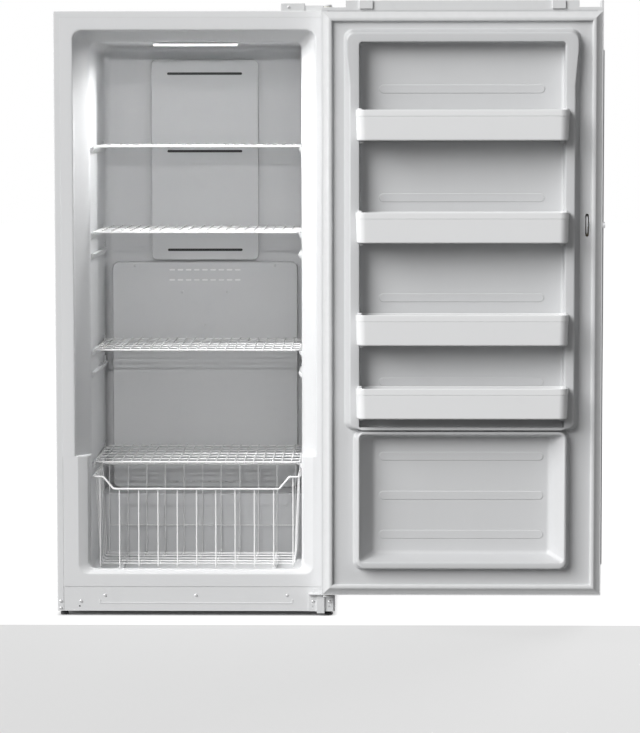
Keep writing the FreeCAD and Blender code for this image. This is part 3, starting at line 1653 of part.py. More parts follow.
def pin_ring(outer, bore, low, high, facets):
    """A ring round the hinge axis between two heights, with a round or a faceted bore."""
    foot = V(float(size("hinge_x")), float(size("hinge_y")), float(low))
    height = float(high - low)
    turn = faceted(outer, height, foot, ALONG["Z"], 12)
    turn.rotate(foot, ALONG["Z"], 15)
    if facets:
        return turn.cut(faceted(bore, height, foot, ALONG["Z"], 12))
    return turn.cut(cylinder(bore, height, foot, ALONG["Z"]))


def door_bushes():
    """Two bushes in the caps that the hinge pins run in."""
    bore = size("pin_radius") + size("running_gap")
    low, high = size("door_bottom"), size("door_top")
    heights = ((low, low + size("bottom_cap_height")), (high, high + size("top_cap_height")))
    rings = [pin_ring(size("bush_radius"), bore, a, b, facets=False) for a, b in heights]
    group("door_bushes", rings, on_door=True)


def pin_wells():
    """Wells in the foam that the hinge pins reach into."""
    body = doc.getObject("door_foam")
    hole = facet_outline(size("hinge_x"), size("hinge_y"), size("bush_radius"), 8)
    depth = size("pin_engagement")
    prism(body, "XY", panel_low, depth, hole, cut=True)
    prism(body, "XY", panel_high - depth, depth, hole, cut=True)


def door_handle():
    """A full-length edge pull: a side web and a front grip hooked back towards the door."""
    body = new_body("door_handle")
    wall = size("handle_wall")
    side = -size("door_half")
    front = size("door_front")
    grip = front - size("handle_grip")
    outline = [
        (side - wall, grip),
        (side + size("handle_hook"), grip),
        (side + size("handle_hook"), grip + wall),
        (side, grip + wall),
        (side, front + size("handle_side")),
        (side - wall, front + size("handle_side")),
    ]
    low = size("handle_bottom")
    prism(body, "XY", low, size("handle_top") - low, lambda s: polygon(s, outline))
    hole = facet_outline(size("lock_y"), size("lock_z"), size("lock_radius"), 16, around=True)
    prism(body, "YZ", side - wall, wall, hole, cut=True)
    swing_open(body)


def door_lock():
    """The key lock in the latch edge: a fixed case, a turning barrel and an oval cam on its spindle."""
    y, z = float(size("lock_y")), float(size("lock_z"))
    side = -float(size("door_half"))
    radius = float(size("lock_radius"))
    core = radius * 0.6
    proud = float(size("lock_proud"))
    length = proud + float(size("lock_barrel"))
    start = V(side - proud, y, z)
    case = faceted(radius, length, start, ALONG["X"])
    bore = cylinder(core + float(size("running_gap")), length, start, ALONG["X"])
    group("lock_case", [case.cut(bore)], on_door=True)
    barrel = cylinder(core, length, start, ALONG["X"])
    slot_width, slot_height = radius * 0.2, core * 1.3
    corner = start - V(0, slot_width / 2, slot_height / 2)
    key_slot = Part.makeBox(proud, slot_width, slot_height, corner)
    cam_wall = float(size("lock_cam_wall"))
    cam_near = float(size("lock_cam_x")) - cam_wall / 2
    end = V(start.x + length, y, z)
    spindle = bar(end, V(cam_near, y, z), float(size("lock_spindle_radius")) * 2)
    group("lock_barrel", [barrel.cut(key_slot).fuse(spindle)], on_door=True)
    half, width = float(size("lock_cam_half")), float(size("lock_cam_width"))
    edge = []
    for i in range(25):
        turn = 2 * math.pi * (i % 24) / 24
        edge.append(V(cam_near, y + width * math.cos(turn), z + half * math.sin(turn)))
    cam = Part.Face(Part.makePolygon(edge)).extrude(V(cam_wall, 0, 0))
    group("lock_cam", [cam], on_door=True)


def door_bin(label, name):
    """A door bin: a deep front that laps the dikes and a narrower back that fits between them."""
    body = new_body(label)
    wall = size("bin_wall")
    gap = size("bin_gap")
    low = size(name)
    wide = size("bin_half")
    narrow = size("dike_inner_half") - gap
    back = size("pocket_back") + size("rib_proud") + gap
    shoulder = size("dike_back") + gap
    front = size("bin_front")
    radius = size("bin_radius")

    def tray(shrink):
        round_radius = radius - shrink
        return [
            (shrink - narrow, back + shrink, None),
            (narrow - shrink, back + shrink, None),
            (narrow - shrink, shoulder + shrink, None),
            (wide - shrink, shoulder + shrink, None),
            (wide - shrink, front - shrink, round_radius),
            (shrink - wide, front - shrink, round_radius),
            (shrink - wide, shoulder + shrink, None),
            (shrink - narrow, shoulder + shrink, None),
        ]

    height = size("bin_height")
    prism(body, "XY", low, height, lambda s: rounded(s, tray(ZERO)))
    prism(body, "XY", low + wall, height - wall, lambda s: rounded(s, tray(wall)), cut=True)
    swing_open(body)


# ================================================================ hinges


def top_hinge():
    """The top hinge: a plate on the cabinet, a leaf that steps up over the door, and a cover."""
    body = new_body("top_hinge_bracket")
    wall = size("top_plate_wall")
    leaf = size("leaf_wall")
    inner = size("top_plate_inner")
    outer = size("hinge_x") + size("leaf_radius")
    top = size("cabinet_top")
    inset = size("top_leaf_inset")
    depth = size("top_plate_depth")
    leaf_z = size("top_leaf_z")
    prism(body, "XY", top, wall, box_outline(inner, outer, inset, inset + depth))
    riser = box_outline(inner + depth, outer, inset, inset + leaf)
    prism(body, "XY", top, leaf_z + leaf - top, riser)
    x, y = size("hinge_x"), size("hinge_y")
    radius = size("leaf_radius")
    arm = box_outline(x - radius, outer, y, inset + leaf)
    prism(body, "XY", leaf_z, leaf, arm)
    prism(body, "XY", leaf_z, leaf, facet_outline(x, y, radius, 20, around=True))
    pin_low = size("door_top") - size("pin_engagement") + size("rest_gap")
    prism(body, "XY", pin_low, leaf_z - pin_low, circle_outline(x, y, size("pin_radius")))
    cover = new_body("top_hinge_cover")
    cover_top = size("hinge_cover_top")
    shell = size("hinge_cover_wall")
    gap = size("rest_gap")
    screw_room = size("screw_head_height") + gap
    left, right = inner - shell - gap, inner + depth - gap
    front, back = inset - shell - gap, inset + depth + shell + gap
    prism(cover, "XY", top, cover_top - top, box_outline(left, right, front, back, shell))
    room_left, room_front, room_back = left + shell, front + shell, back - shell
    room = box_outline(room_left, right, room_front, room_back)
    prism(cover, "XY", top, wall + screw_room * 2, room, cut=True)


def lower_hinge():
    """The lower hinge: a plate on the cabinet's front, a leaf under the door, a leg and a stop tab."""
    body = new_body("lower_hinge_bracket")
    inner, outer = size("lower_plate_inner"), size("lower_plate_outer")
    wall = size("lower_plate_wall")
    low, high = size("wrapper_bottom"), size("lower_plate_top")
    proud = size("kick_bead_proud")
    prism(body, "XZ", -wall, wall, box_outline(inner, outer, low, high))
    leaf_z, leaf = size("lower_leaf_z"), size("leaf_wall")
    x, y = size("hinge_x"), size("hinge_y")
    radius = size("leaf_radius")
    prism(body, "XY", leaf_z, leaf, box_outline(x - radius, x + radius, y, -wall))
    prism(body, "XY", leaf_z, leaf, facet_outline(x, y, radius, 20, around=True))
    apron = size("leaf_radius")
    prism(body, "XY", leaf_z, leaf, box_outline(inner, outer, -wall - apron, -wall))
    leg = box_outline(size("lower_leg_inner"), size("lower_leg_outer"), size("lower_leg_bottom"), leaf_z)
    prism(body, "XZ", -wall - size("lower_leg_wall"), size("lower_leg_wall"), leg)
    tab = box_outline(size("stop_inner"), size("stop_outer"), leaf_z, size("stop_top"))
    prism(body, "XZ", -wall - size("lower_leg_wall"), size("lower_leg_wall") - proud, tab)
    pin_top = size("door_bottom") + size("pin_engagement") + size("bottom_cap_height") / 2
    start = leaf_z + leaf
    prism(body, "XY", start, pin_top - start, circle_outline(x, y, size("pin_radius")))
    for hole_x in (size("lower_hinge_screw_inner"), size("lower_hinge_screw_outer")):
        hole = facet_outline(hole_x, size("spare_hole_z"), size("screw_hole_radius"), 8)
        prism(body, "XZ", -wall, wall, hole, cut=True)


def hinge_washers():
    """Nylon washers that the door turns on, one on the lower leaf and one under the upper leaf."""
    bore = size("pin_radius") / math.cos(math.pi / 12)
    gap = size("rest_gap")
    lower = (size("lower_leaf_z") + size("leaf_wall"), size("door_bottom") - gap)
    upper = (size("door_top") + size("top_cap_height") + gap, size("top_leaf_z"))
    rings = [pin_ring(size("washer_radius"), bore, a, b, facets=True) for a, b in (lower, upper)]
    group("hinge_washers", rings)


# ================================================================ fasteners


def kick_screw_places():
    """Where the kick plate's screws sit: three along it, and one at its free end."""
    z = size("kick_screw_z")
    return [(-size("kick_screw_x"), z), (ZERO, z), (size("kick_screw_x"), z)]


def cover_screw_places():
    x, z = size("cover_screw_x"), size("cover_screw_z")
    fan_x, fan_z = size("fan_screw_x"), size("fan_screw_z")
    return [(-x, z), (x, z), (-fan_x, fan_z), (fan_x, fan_z), (ZERO, size("coil_screw_z"))]


def fasteners():
    """Screws, by what they hold, and the holes they go through."""
    out = V(0, -1, 0)
    side_z = size("side_screw_z")
    left_screw = (-size("kick_side_screw_x"), side_z)
    flange_screw = (-size("flange_screw_x"), side_z)
    hinge_screws = [(size("lower_hinge_screw_inner"), side_z), (size("lower_hinge_screw_outer"), side_z)]
    spare = (-size("spare_hole_x"), size("spare_hole_z"))
    radius = size("screw_hole_radius")

    def drill(label, start, depth, places, plane="XZ"):
        for across, up in places:
            hole = facet_outline(across, up, radius, 8, around=True)
            prism(doc.getObject(label), plane, start, depth, hole, cut=True)

    kick_wall, flange_wall = size("kick_wall"), size("wrapper_wall")
    drill("kick_plate", ZERO, kick_wall, kick_screw_places() + [left_screw, spare, hinge_screws[0]])
    drill("cabinet_wrapper", ZERO, flange_wall, [flange_screw, hinge_screws[1]])
    plate = size("lower_plate_wall")
    drill("lower_hinge_bracket", -plate, plate, hinge_screws)
    face = size("evaporator_cover_front")
    drill("evaporator_cover", face, size("cover_wall"), cover_screw_places())
    first, pitch = size("top_hinge_screw_first"), size("top_hinge_screw_pitch")
    y = size("top_leaf_inset") + size("top_plate_depth") / 2
    top_places = [(first + pitch * i, y) for i in range(3)]
    top, wall = size("cabinet_top"), size("top_plate_wall")
    drill("top_hinge_bracket", top, wall, top_places, "XY")
    drill("cabinet_wrapper", top - flange_wall, flange_wall, top_places, "XY")
    drill("cabinet_foam", top - size("screw_length"), size("screw_length"), top_places, "XY")

    def seats(places, at):
        return [V(float(a), at, float(b)) for a, b in places]

    kick = seats(kick_screw_places() + [left_screw, flange_screw], 0)
    group("kick_plate_screws", [screw(point, out) for point in kick])
    cover = seats(cover_screw_places(), float(face))
    group("cover_screws", [screw(point, out) for point in cover])
    upper = [V(float(a), float(b), float(top + wall)) for a, b in top_places]
    group("top_hinge_screws", [screw(point, V(0, 0, 1)) for point in upper])
    lower = seats(hinge_screws, -float(plate))
    group("lower_hinge_screws", [screw(point, out) for point in lower])


# ================================================================ build, check, export


def build():
    cabinet_wrapper()
    inner_liner()
    cabinet_foam()
    bulkhead()
    back_panel()
    base_frame()
    levelling_feet()
    kick_plate()
    duct_cover()
    evaporator_cover()
    evaporator_coil()
    defrost_heater()
    drain()
    drain_channels()
    evaporator_fan()
    compressor()
    condenser()
    refrigerant_lines()
    condenser_fan()
    drain_pan()
    rear_cover()
    light_bar()
    shelf_ledges()
    for i in range(1, 5):
        wire_shelf(f"shelf_{i}_wires", f"shelf_{i}")
    basket()
    door_skin()
    door_foam()
    door_liner()
    door_gasket()
    door_caps()
    door_bushes()
    pin_wells()
    door_handle()
    door_lock()
    for i in range(1, 5):
        door_bin(f"door_bin_{i}", f"bin_{i}")
    top_hinge()
    lower_hinge()
    hinge_washers()
    fasteners()
    doc.recompute()


def check_objects():
    """Stops on any failed object, on a cut that takes nothing away and on a bad sub-part."""
    for thing in doc.Objects:
        if "Invalid" in thing.State or "Error" in thing.State:
            raise RuntimeError(f"{thing.Name} failed: {thing.State}")
        if thing.TypeId in ("PartDesign::Pocket", "PartDesign::SubtractiveLoft"):
            before = thing.BaseFeature.Shape.Volume
            if before - thing.Shape.Volume < 1e-3:
                raise RuntimeError(f"{thing.Name} cuts nothing")
    for thing in exports:
        if thing.Shape.isNull() or not thing.Shape.isValid() or not thing.Shape.Solids:
            raise RuntimeError(f"{thing.Label} has no sound shape")


def export():
    os.makedirs("parts", exist_ok=True)
    for thing in exports:
        thing.Shape.exportStep(f"parts/{thing.Label}.step")
        print(f"{thing.Label}: {len(thing.Shape.Solids)} solids, {thing.Shape.Volume / 1000:.1f} cm3")


build()
check_objects()
export()
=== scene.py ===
import json
import logging
import math
from dataclasses import dataclass, field
from enum import Enum
from typing import Callable, Sequence

import bmesh
import bpy
from mathutils import Matrix, Vector

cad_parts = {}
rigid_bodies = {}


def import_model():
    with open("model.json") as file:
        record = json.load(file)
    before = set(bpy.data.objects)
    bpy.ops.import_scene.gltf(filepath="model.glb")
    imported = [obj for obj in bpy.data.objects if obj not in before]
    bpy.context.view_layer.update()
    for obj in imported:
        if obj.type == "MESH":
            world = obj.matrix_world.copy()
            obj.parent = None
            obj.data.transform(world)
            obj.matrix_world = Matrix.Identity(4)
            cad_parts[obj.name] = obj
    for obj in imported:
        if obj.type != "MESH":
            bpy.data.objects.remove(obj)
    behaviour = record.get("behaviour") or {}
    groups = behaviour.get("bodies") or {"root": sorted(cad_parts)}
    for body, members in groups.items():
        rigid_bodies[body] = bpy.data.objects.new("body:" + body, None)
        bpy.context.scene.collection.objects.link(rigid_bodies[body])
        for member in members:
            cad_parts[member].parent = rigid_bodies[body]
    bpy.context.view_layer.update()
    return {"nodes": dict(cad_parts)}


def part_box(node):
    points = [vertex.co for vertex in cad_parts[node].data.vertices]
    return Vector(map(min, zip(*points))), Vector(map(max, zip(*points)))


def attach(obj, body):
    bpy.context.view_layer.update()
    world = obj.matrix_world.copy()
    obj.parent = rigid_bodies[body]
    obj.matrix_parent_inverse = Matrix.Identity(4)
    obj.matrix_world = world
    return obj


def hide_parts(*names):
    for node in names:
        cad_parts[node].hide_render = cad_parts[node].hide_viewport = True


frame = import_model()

logging.basicConfig(level=logging.INFO, format="%(message)s")
LOG = logging.getLogger("freezer")

MM = 0.001
HINGE_X, HINGE_Y = 398.0, -40.0  # the door's pins, in millimetres
STEEL_SHEET = 0.9  # the thickness of the painted sheets, in millimetres
WELD = 1e-6  # points nearer than this, in metres, are one point
Colour = tuple[float, float, float]
Point = tuple[float, float, float]
Flat = tuple[float, float]
Place = Callable[[float, float], Vector]


class Part(str, Enum):
    """The moving groups that a piece can belong to."""

    CABINET = "cabinet"
    DOOR = "door"
    LOCK = "lock"
    BASKET = "pull_out_basket"


# ------------------------------------------------------------------ shader maths


class Value:
    """A socket in a material's tree, so that shader maths reads as expressions."""

    def __init__(self, tree: "Tree", socket: bpy.types.NodeSocket | None) -> None:
        """Keeps the tree and the socket."""
        self.tree = tree
        self.socket = socket

    def _math(self, operation: str, *others: "Value | float") -> "Value":
        """Adds one Math node whose first input is this value."""
        given = {i: v for i, v in enumerate((self, *others))}
        return self.tree.node("ShaderNodeMath", given, operation=operation)

    def __add__(self, other: "Value | float") -> "Value":
        """Sum."""
        return self._math("ADD", other)

    def __sub__(self, other: "Value | float") -> "Value":
        """Difference."""
        return self._math("SUBTRACT", other)

    def __mul__(self, other: "Value | float") -> "Value":
        """Product."""
        return self._math("MULTIPLY", other)

    def __rsub__(self, other: float) -> "Value":
        """A number less this value."""
        return self.tree.node("ShaderNodeMath", {0: other, 1: self}, operation="SUBTRACT")

    __radd__ = __add__
    __rmul__ = __mul__

    def ramp(self, low: float, high: float) -> "Value":
        """A smooth step from 0 at low to 1 at high."""
        given = {"Value": self, "From Min": low, "From Max": high}
        return self.tree.node("ShaderNodeMapRange", given, interpolation_type="SMOOTHSTEP")


class Tree:
    """The node tree of a material or of the world, with one method that adds any node."""

    def __init__(self, owner: bpy.types.Material | bpy.types.World) -> None:
        """Clears the owner's tree and takes it over.

        Args:
            owner: the material or the world.
        """
        owner.use_nodes = True
        self.tree = owner.node_tree
        self.tree.nodes.clear()

    def node(self, kind: str, given: dict | None = None, out: int | str = 0, **settings: object) -> Value:
        """Adds a node.

        Args:
            kind: the node's type.
            given: numbers, tuples or values for its inputs, by name or place.
            out: which output the returned value stands for.
            settings: properties that are set before the inputs.

        Returns:
            The chosen output.
        """
        made = self.tree.nodes.new(kind)
        for name, setting in settings.items():
            setattr(made, name, setting)
        for name, item in (given or {}).items():
            if isinstance(item, Value):
                self.tree.links.new(item.socket, made.inputs[name])
            else:
                made.inputs[name].default_value = item
        return Value(self, made.outputs[out] if len(made.outputs) else None)

    def place(self) -> Value:
        """Where a point lies on the piece, in metres."""
        return self.node("ShaderNodeTexCoord", out="Object")

    def stretched(self, stretch: Point) -> Value:
        """The point's place, scaled differently along each axis."""
        given = {"Vector": self.place(), "Scale": stretch}
        return self.node("ShaderNodeMapping", given)

    def noise(self, size: float, detail: float = 2, stretch: Point = (1, 1, 1), rough: float = 0.5) -> Value:
        """Soft noise whose features are about size metres across."""
        given = {"Vector": self.stretched(stretch), "Scale": 1 / size, "Detail": detail, "Roughness": rough}
        return self.node("ShaderNodeTexNoise", given)

    def cells(self, size: float, out: str = "Distance") -> Value:
        """Cells about size metres across: their distance field or their colour."""
        given = {"Vector": self.place(), "Scale": 1 / size}
        return self.node("ShaderNodeTexVoronoi", given, out=out, feature="F1")

    def axis(self, name: str) -> Value:
        """One coordinate of the point's place, in metres."""
        return self.node("ShaderNodeSeparateXYZ", {0: self.place()}, out=name)

    def blend(self, amount: "Value | float", first: "Colour | Value", second: "Colour | Value") -> Value:
        """A colour between two colours.

        Args:
            amount: 0 for the first colour, 1 for the second.
            first: a colour or a value.
            second: a colour or a value.

        Returns:
            The blended colour.
        """
        given = {"Factor": amount, "A": self.full(first), "B": self.full(second)}
        made = self.tree.nodes.new("ShaderNodeMix")
        made.data_type = "RGBA"
        for name, item in given.items():
            kind = "VALUE" if name == "Factor" else "RGBA"
            socket = next(s for s in made.inputs if s.name == name and s.type == kind)
            if isinstance(item, Value):
                self.tree.links.new(item.socket, socket)
            else:
                socket.default_value = item
        return Value(self, next(s for s in made.outputs if s.type == "RGBA"))

    @staticmethod
    def full(colour: "Colour | Value") -> "tuple | Value":
        """A colour with its alpha, or the value as it is."""
        return colour if isinstance(colour, Value) else (*colour, 1.0)


@dataclass
class Look:
    """What a finish's pattern gives: what varies over the surface."""

    colour: "Value | Colour"
    roughness: "Value | float"
    height: Value
    depth: float
    metallic: float = 0.0


@dataclass(frozen=True)
class Finish:
    """A finish: its record slot, its colours and how it varies. Subclasses draw the pattern."""

    slot: str
    colour: Colour
    shade: Colour
    roughness: float = 0.4
    coat: float = 0.0
    glow: float = 0.0
    subsurface: float = 0.0

    def look(self, tree: Tree) -> Look:
        """The pattern over the surface. Plain moulding: fine grain and faint handling marks.

        Args:
            tree: the material's tree.

        Returns:
            What varies over the surface.
        """
        cloud = tree.noise(0.16, 3)
        grain = tree.noise(0.0011, 2)
        marks = tree.noise(0.05, 5, rough=0.65).ramp(0.52, 0.78)
        return Look(
            tree.blend(cloud * 0.6 + marks * 0.25, self.colour, self.shade),
            self.roughness + cloud * 0.08 + marks * 0.1 + grain * 0.05,
            grain + cloud * 2.0,
            0.00006,
        )

    def material(self) -> bpy.types.Material:
        """The finish as a material, made once.

        Returns:
            The material, shared by all pieces in this finish.
        """
        kind = type(self).__name__.lower()
        name = f"{self.slot}_{kind}_{self.roughness * 100:.0f}_{self.colour[0] * 100:.0f}"
        if name in bpy.data.materials:
            return bpy.data.materials[name]
        made = bpy.data.materials.new(name)
        tree = Tree(made)
        look = self.look(tree)
        bump = tree.node("ShaderNodeBump", {"Height": look.height, "Distance": look.depth, "Strength": 1.0})
        given = {
            "Base Color": Tree.full(look.colour),
            "Roughness": look.roughness,
            "Metallic": look.metallic,
            "Coat Weight": self.coat,
            "Coat Roughness": 0.12,
            "Subsurface Weight": self.subsurface,
            "Normal": bump,
        }
        if self.glow:
            given["Emission Color"] = Tree.full(self.colour)
            given["Emission Strength"] = self.glow
        shader = tree.node("ShaderNodeBsdfPrincipled", given)
        tree.node("ShaderNodeOutputMaterial", {"Surface": shader})
        made.diffuse_color = (*self.colour, 1)
        return made


class Enamel(Finish):
    """Baked enamel on steel: a faint orange peel and the sheet's own slow waves."""

    def look(self, tree: Tree) -> Look:
        """Orange peel, slow waves and light handling marks.

        Args:
            tree: the material's tree.

        Returns:
            What varies over the surface.
        """
        peel = tree.noise(0.0024, 2)
        wave = tree.noise(0.35, 1)
        marks = tree.noise(0.09, 6, rough=0.6).ramp(0.5, 0.8)
        dust = tree.noise(0.004, 3).ramp(0.66, 0.74)
        return Look(
            tree.blend(wave * 0.35 + marks * 0.3 + dust * 0.2, self.colour, self.shade),
            self.roughness + marks * 0.12 + peel * 0.06,
            peel + wave * 14.0,
            0.00007,
        )


class FormedSheet(Finish):
    """Vacuum-formed sheet: satin, stretched a little thinner and duller in the corners."""

    def look(self, tree: Tree) -> Look:
        """A fine stipple, slow draw marks down the sheet and cloudy gloss.

        Args:
            tree: the material's tree.

        Returns:
            What varies over the surface.
        """
        stipple = tree.noise(0.0016, 2)
        draw = tree.noise(0.045, 3, stretch=(1, 1, 0.16))
        cloud = tree.noise(0.3, 2)
        return Look(
            tree.blend(cloud * 0.45 + draw * 0.25, self.colour, self.shade),
            self.roughness + draw * 0.12 + stipple * 0.06,
            stipple + draw * 5.0 + cloud * 6.0,
            0.00007,
        )


class Vinyl(Finish):
    """Soft vinyl with a dull bloom."""

    def look(self, tree: Tree) -> Look:
        """Bloom in clouds, with fine drag lines.

        Args:
            tree: the material's tree.

        Returns:
            What varies over the surface.
        """
        bloom = tree.noise(0.02, 4)
        drag = tree.noise(0.0012, 2, stretch=(1, 1, 0.2))
        return Look(tree.blend(bloom, self.colour, self.shade), self.roughness + bloom * 0.15, bloom + drag, 0.00012)


class CoatedWire(Finish):
    """Powder-coated wire, slightly pooled."""

    def look(self, tree: Tree) -> Look:
        """Small lumps in the coat and a few duller spots.

        Args:
            tree: the material's tree.

        Returns:
            What varies over the surface.
        """
        lump = tree.noise(0.0045, 3)
        spot = tree.noise(0.018, 3).ramp(0.55, 0.8)
        return Look(tree.blend(spot, self.colour, self.shade), self.roughness + spot * 0.2, lump, 0.00018)


class Plated(Finish):
    """Plated or bare metal with drawn lines and scuffs."""

    def look(self, tree: Tree) -> Look:
        """Drawn lines along the part and scuffs across it.

        Args:
            tree: the material's tree.

        Returns:
            What varies over the surface.
        """
        drawn = tree.noise(0.0012, 3, stretch=(1, 1, 0.08))
        scuff = tree.noise(0.012, 5, rough=0.7).ramp(0.5, 0.75)
        return Look(
            tree.blend(scuff * 0.6 + drawn * 0.3, self.colour, self.shade),
            self.roughness + scuff * 0.22 + drawn * 0.1,
            drawn + scuff * 0.5,
            0.00006,
            metallic=1.0,
        )


class Spangle(Finish):
    """Zinc-coated sheet with its frost-flower cells."""

    def look(self, tree: Tree) -> Look:
        """Cells of differing brightness with rolled streaks.

        Args:
            tree: the material's tree.

        Returns:
            What varies over the surface.
        """
        cell = tree.cells(0.014, out="Color")
        tone = tree.node("ShaderNodeSeparateColor", {0: cell})
        streak = tree.noise(0.03, 4, stretch=(1, 1, 0.1))
        return Look(
            tree.blend(tone * 0.7 + streak * 0.3, self.colour, self.shade),
            self.roughness + tone * 0.15,
            streak + tone * 0.3,
            0.00008,
            metallic=0.9,
        )


class Pitted(Finish):
    """Blown foam or cast grain: open pits."""

    def look(self, tree: Tree) -> Look:
        """Pits of two sizes in a mottled body.

        Args:
            tree: the material's tree.

        Returns:
            What varies over the surface.
        """
        pit = tree.cells(0.0035)
        mottle = tree.noise(0.06, 5)
        return Look(
            tree.blend(mottle, self.colour, self.shade), self.roughness + mottle * 0.1, pit * 2 + mottle, 0.0008
        )


class Finned(Finish):
    """Thin bright fins packed side by side."""

    def look(self, tree: Tree) -> Look:
        """Fine fins across the block, with dull patches.

        Args:
            tree: the material's tree.

        Returns:
            What varies over the surface.
        """
        across = tree.axis("X") + tree.axis("Y")
        fin = tree.node("ShaderNodeMath", {0: across * 2200.0}, operation="SINE")
        patch = tree.noise(0.05, 4)
        return Look(
            tree.blend(patch, self.colour, self.shade), self.roughness + patch * 0.2, fin, 0.0004, metallic=0.9
        )


class Finishes:
    """Every finish on the object."""

    CASE = Enamel("enamel", (0.71, 0.715, 0.72), (0.62, 0.625, 0.635), 0.32, coat=0.25)
    LINER = FormedSheet("liner", (0.72, 0.725, 0.73), (0.66, 0.665, 0.675), 0.36)
    # the door's liner is the cabinet liner's sheet coloured darker: painted shade on the door
    INNER_DOOR = FormedSheet("liner", (0.60, 0.605, 0.61), (0.55, 0.555, 0.565), 0.36)
    COVER = Finish("cover", (0.70, 0.705, 0.71), (0.64, 0.645, 0.65), 0.42)
    GASKET = Vinyl("gasket", (0.68, 0.685, 0.69), (0.62, 0.625, 0.63), 0.6)
    WIRE = CoatedWire("wire", (0.84, 0.84, 0.84), (0.74, 0.74, 0.74), 0.3, coat=0.3)
    BIN = Finish("bin", (0.79, 0.795, 0.80), (0.75, 0.755, 0.76), 0.24, coat=0.35)
    MOULDING = Finish("white_moulding", (0.70, 0.705, 0.71), (0.62, 0.625, 0.63), 0.34)
    # the vent vanes' moulding coloured brighter than MOULDING: a painted highlight in the vent slots
    VANE = Finish("white_moulding", (0.93, 0.93, 0.93), (0.86, 0.86, 0.86), 0.34)
    LENS = Finish("lens", (0.93, 0.94, 0.95), (0.86, 0.87, 0.88), 0.45, glow=0.9, subsurface=0.2)
    SCREW = Plated("bright_metal", (0.5, 0.5, 0.5), (0.3, 0.3, 0.31), 0.3)
    STEEL = Plated("bright_metal", (0.72, 0.72, 0.73), (0.5, 0.5, 0.51), 0.28)
    PLATE = Enamel("bright_metal", (0.70, 0.705, 0.71), (0.6, 0.605, 0.61), 0.35, coat=0.2)
    ZINC = Spangle("zinc_sheet", (0.52, 0.53, 0.54), (0.36, 0.37, 0.38), 0.35)
    FIN = Finned("fin", (0.7, 0.71, 0.72), (0.5, 0.51, 0.52), 0.4)
    POT = Enamel("pot", (0.018, 0.018, 0.019), (0.04, 0.04, 0.042), 0.35, coat=0.3)
    BLACK = Finish("black_moulding", (0.03, 0.03, 0.031), (0.055, 0.055, 0.056), 0.5)
    RUBBER = Vinyl("black_rubber", (0.02, 0.02, 0.02), (0.045, 0.045, 0.045), 0.7)
    COPPER = Plated("copper_tube", (0.72, 0.37, 0.24), (0.42, 0.2, 0.12), 0.32)
    FOAM = Pitted("foam", (0.74, 0.62, 0.36), (0.6, 0.47, 0.24), 0.85)
    NYLON = Finish("nylon", (0.8, 0.79, 0.73), (0.7, 0.69, 0.62), 0.45)


# ------------------------------------------------------------------ hand tools


def mm(x: float, y: float, z: float) -> Vector:
    """A point given in millimetres, in metres."""
    return Vector((x, y, z)) * MM


def only(*things: bpy.types.Object) -> None:
    """Selects these objects alone and makes the first one active.

    Args:
        things: the objects; the first one becomes the active one.
    """
    if bpy.context.object and bpy.context.object.mode != "OBJECT":
        bpy.ops.object.mode_set(mode="OBJECT")
    bpy.ops.object.select_all(action="DESELECT")
    for thing in things:
        thing.select_set(True)
    if things:
        bpy.context.view_layer.objects.active = things[0]


def bent(points: Sequence[Vector], bends: Sequence[float], steps: int = 4, closed: bool = True) -> list[Vector]:
    """A path with its corners rounded.

    Args:
        points: the corners, flat or in space.
        bends: each corner's radius.
        steps: straight pieces in each bend.
        closed: whether the path returns to its start.

    Returns:
        The points along the path, steps + 1 for each rounded corner.
    """
    path = []
    count = len(points)
    straight = math.pi / 2 - 1e-3
    for i, here in enumerate(points):
        if not closed and i in (0, count - 1):
            path.append(here.copy())
            continue
        before = (points[i - 1] - here).normalized()
        after = (points[(i + 1) % count] - here).normalized()
        half = before.angle(after) / 2
        if half > straight:
            path.extend([here.copy()] * (steps + 1))
            continue
        bend = max(bends[i], WELD)
        reach = bend / math.tan(half)
        start, end = here + before * reach, here + after * reach
        centre = here + (before + after).normalized() * (bend / math.sin(half))
        a, b = start - centre, end - centre
        total = a.angle(b)
        for k in range(steps + 1):
            share = k / steps
            turn = a * math.sin((1 - share) * total) + b * math.sin(share * total)
            path.append(centre + turn / math.sin(total))
    return path


def ring(corners: Sequence[Point], place: Place, steps: int = 5) -> list[Vector]:
    """A closed outline in space.

    Args:
        corners: across, up and bend radius of each corner, in millimetres.
        place: turns across and up into a point in metres.
        steps: straight pieces in each bend.

    Returns:
        The outline's points in metres.
    """
    flat = bent([Vector((a, b)) for a, b, _ in corners], [r for _, _, r in corners], steps)
    return [place(p.x, p.y) for p in flat]


def oblong(half: float, low: float, high: float, bend: float, middle: float = 0.0) -> list[Point]:
    """The four corners of an upright rectangle about a middle line, all with one bend."""
    left, right = middle - half, middle + half
    return [(left, low, bend), (right, low, bend), (right, high, bend), (left, high, bend)]


def at_x(x: float) -> Place:
    """A place function for outlines in a side view: depth and height at a distance from the middle."""
    return lambda along, up: mm(x, along, up)


def at_y(y: float) -> Place:
    """A place function for outlines that stand upright at a depth, in cabinet millimetres."""
    return lambda across, up: mm(across, y, up)


def on_door(y: float) -> Place:
    """A place function for upright outlines on the open door, y measured as if it were shut."""
    return lambda across, up: mm(2 * HINGE_X - across, 2 * HINGE_Y - y, up)


def at_z(z: float, door: bool = False) -> Place:
    """A place function for level outlines at a height.

    Args:
        z: the height in millimetres.
        door: whether the outline lies on the open door, its depth measured as if the door were shut.

    Returns:
        The place function.
    """
    if door:
        return lambda across, along: mm(2 * HINGE_X - across, 2 * HINGE_Y - along, z)
    return lambda across, along: mm(across, along, z)


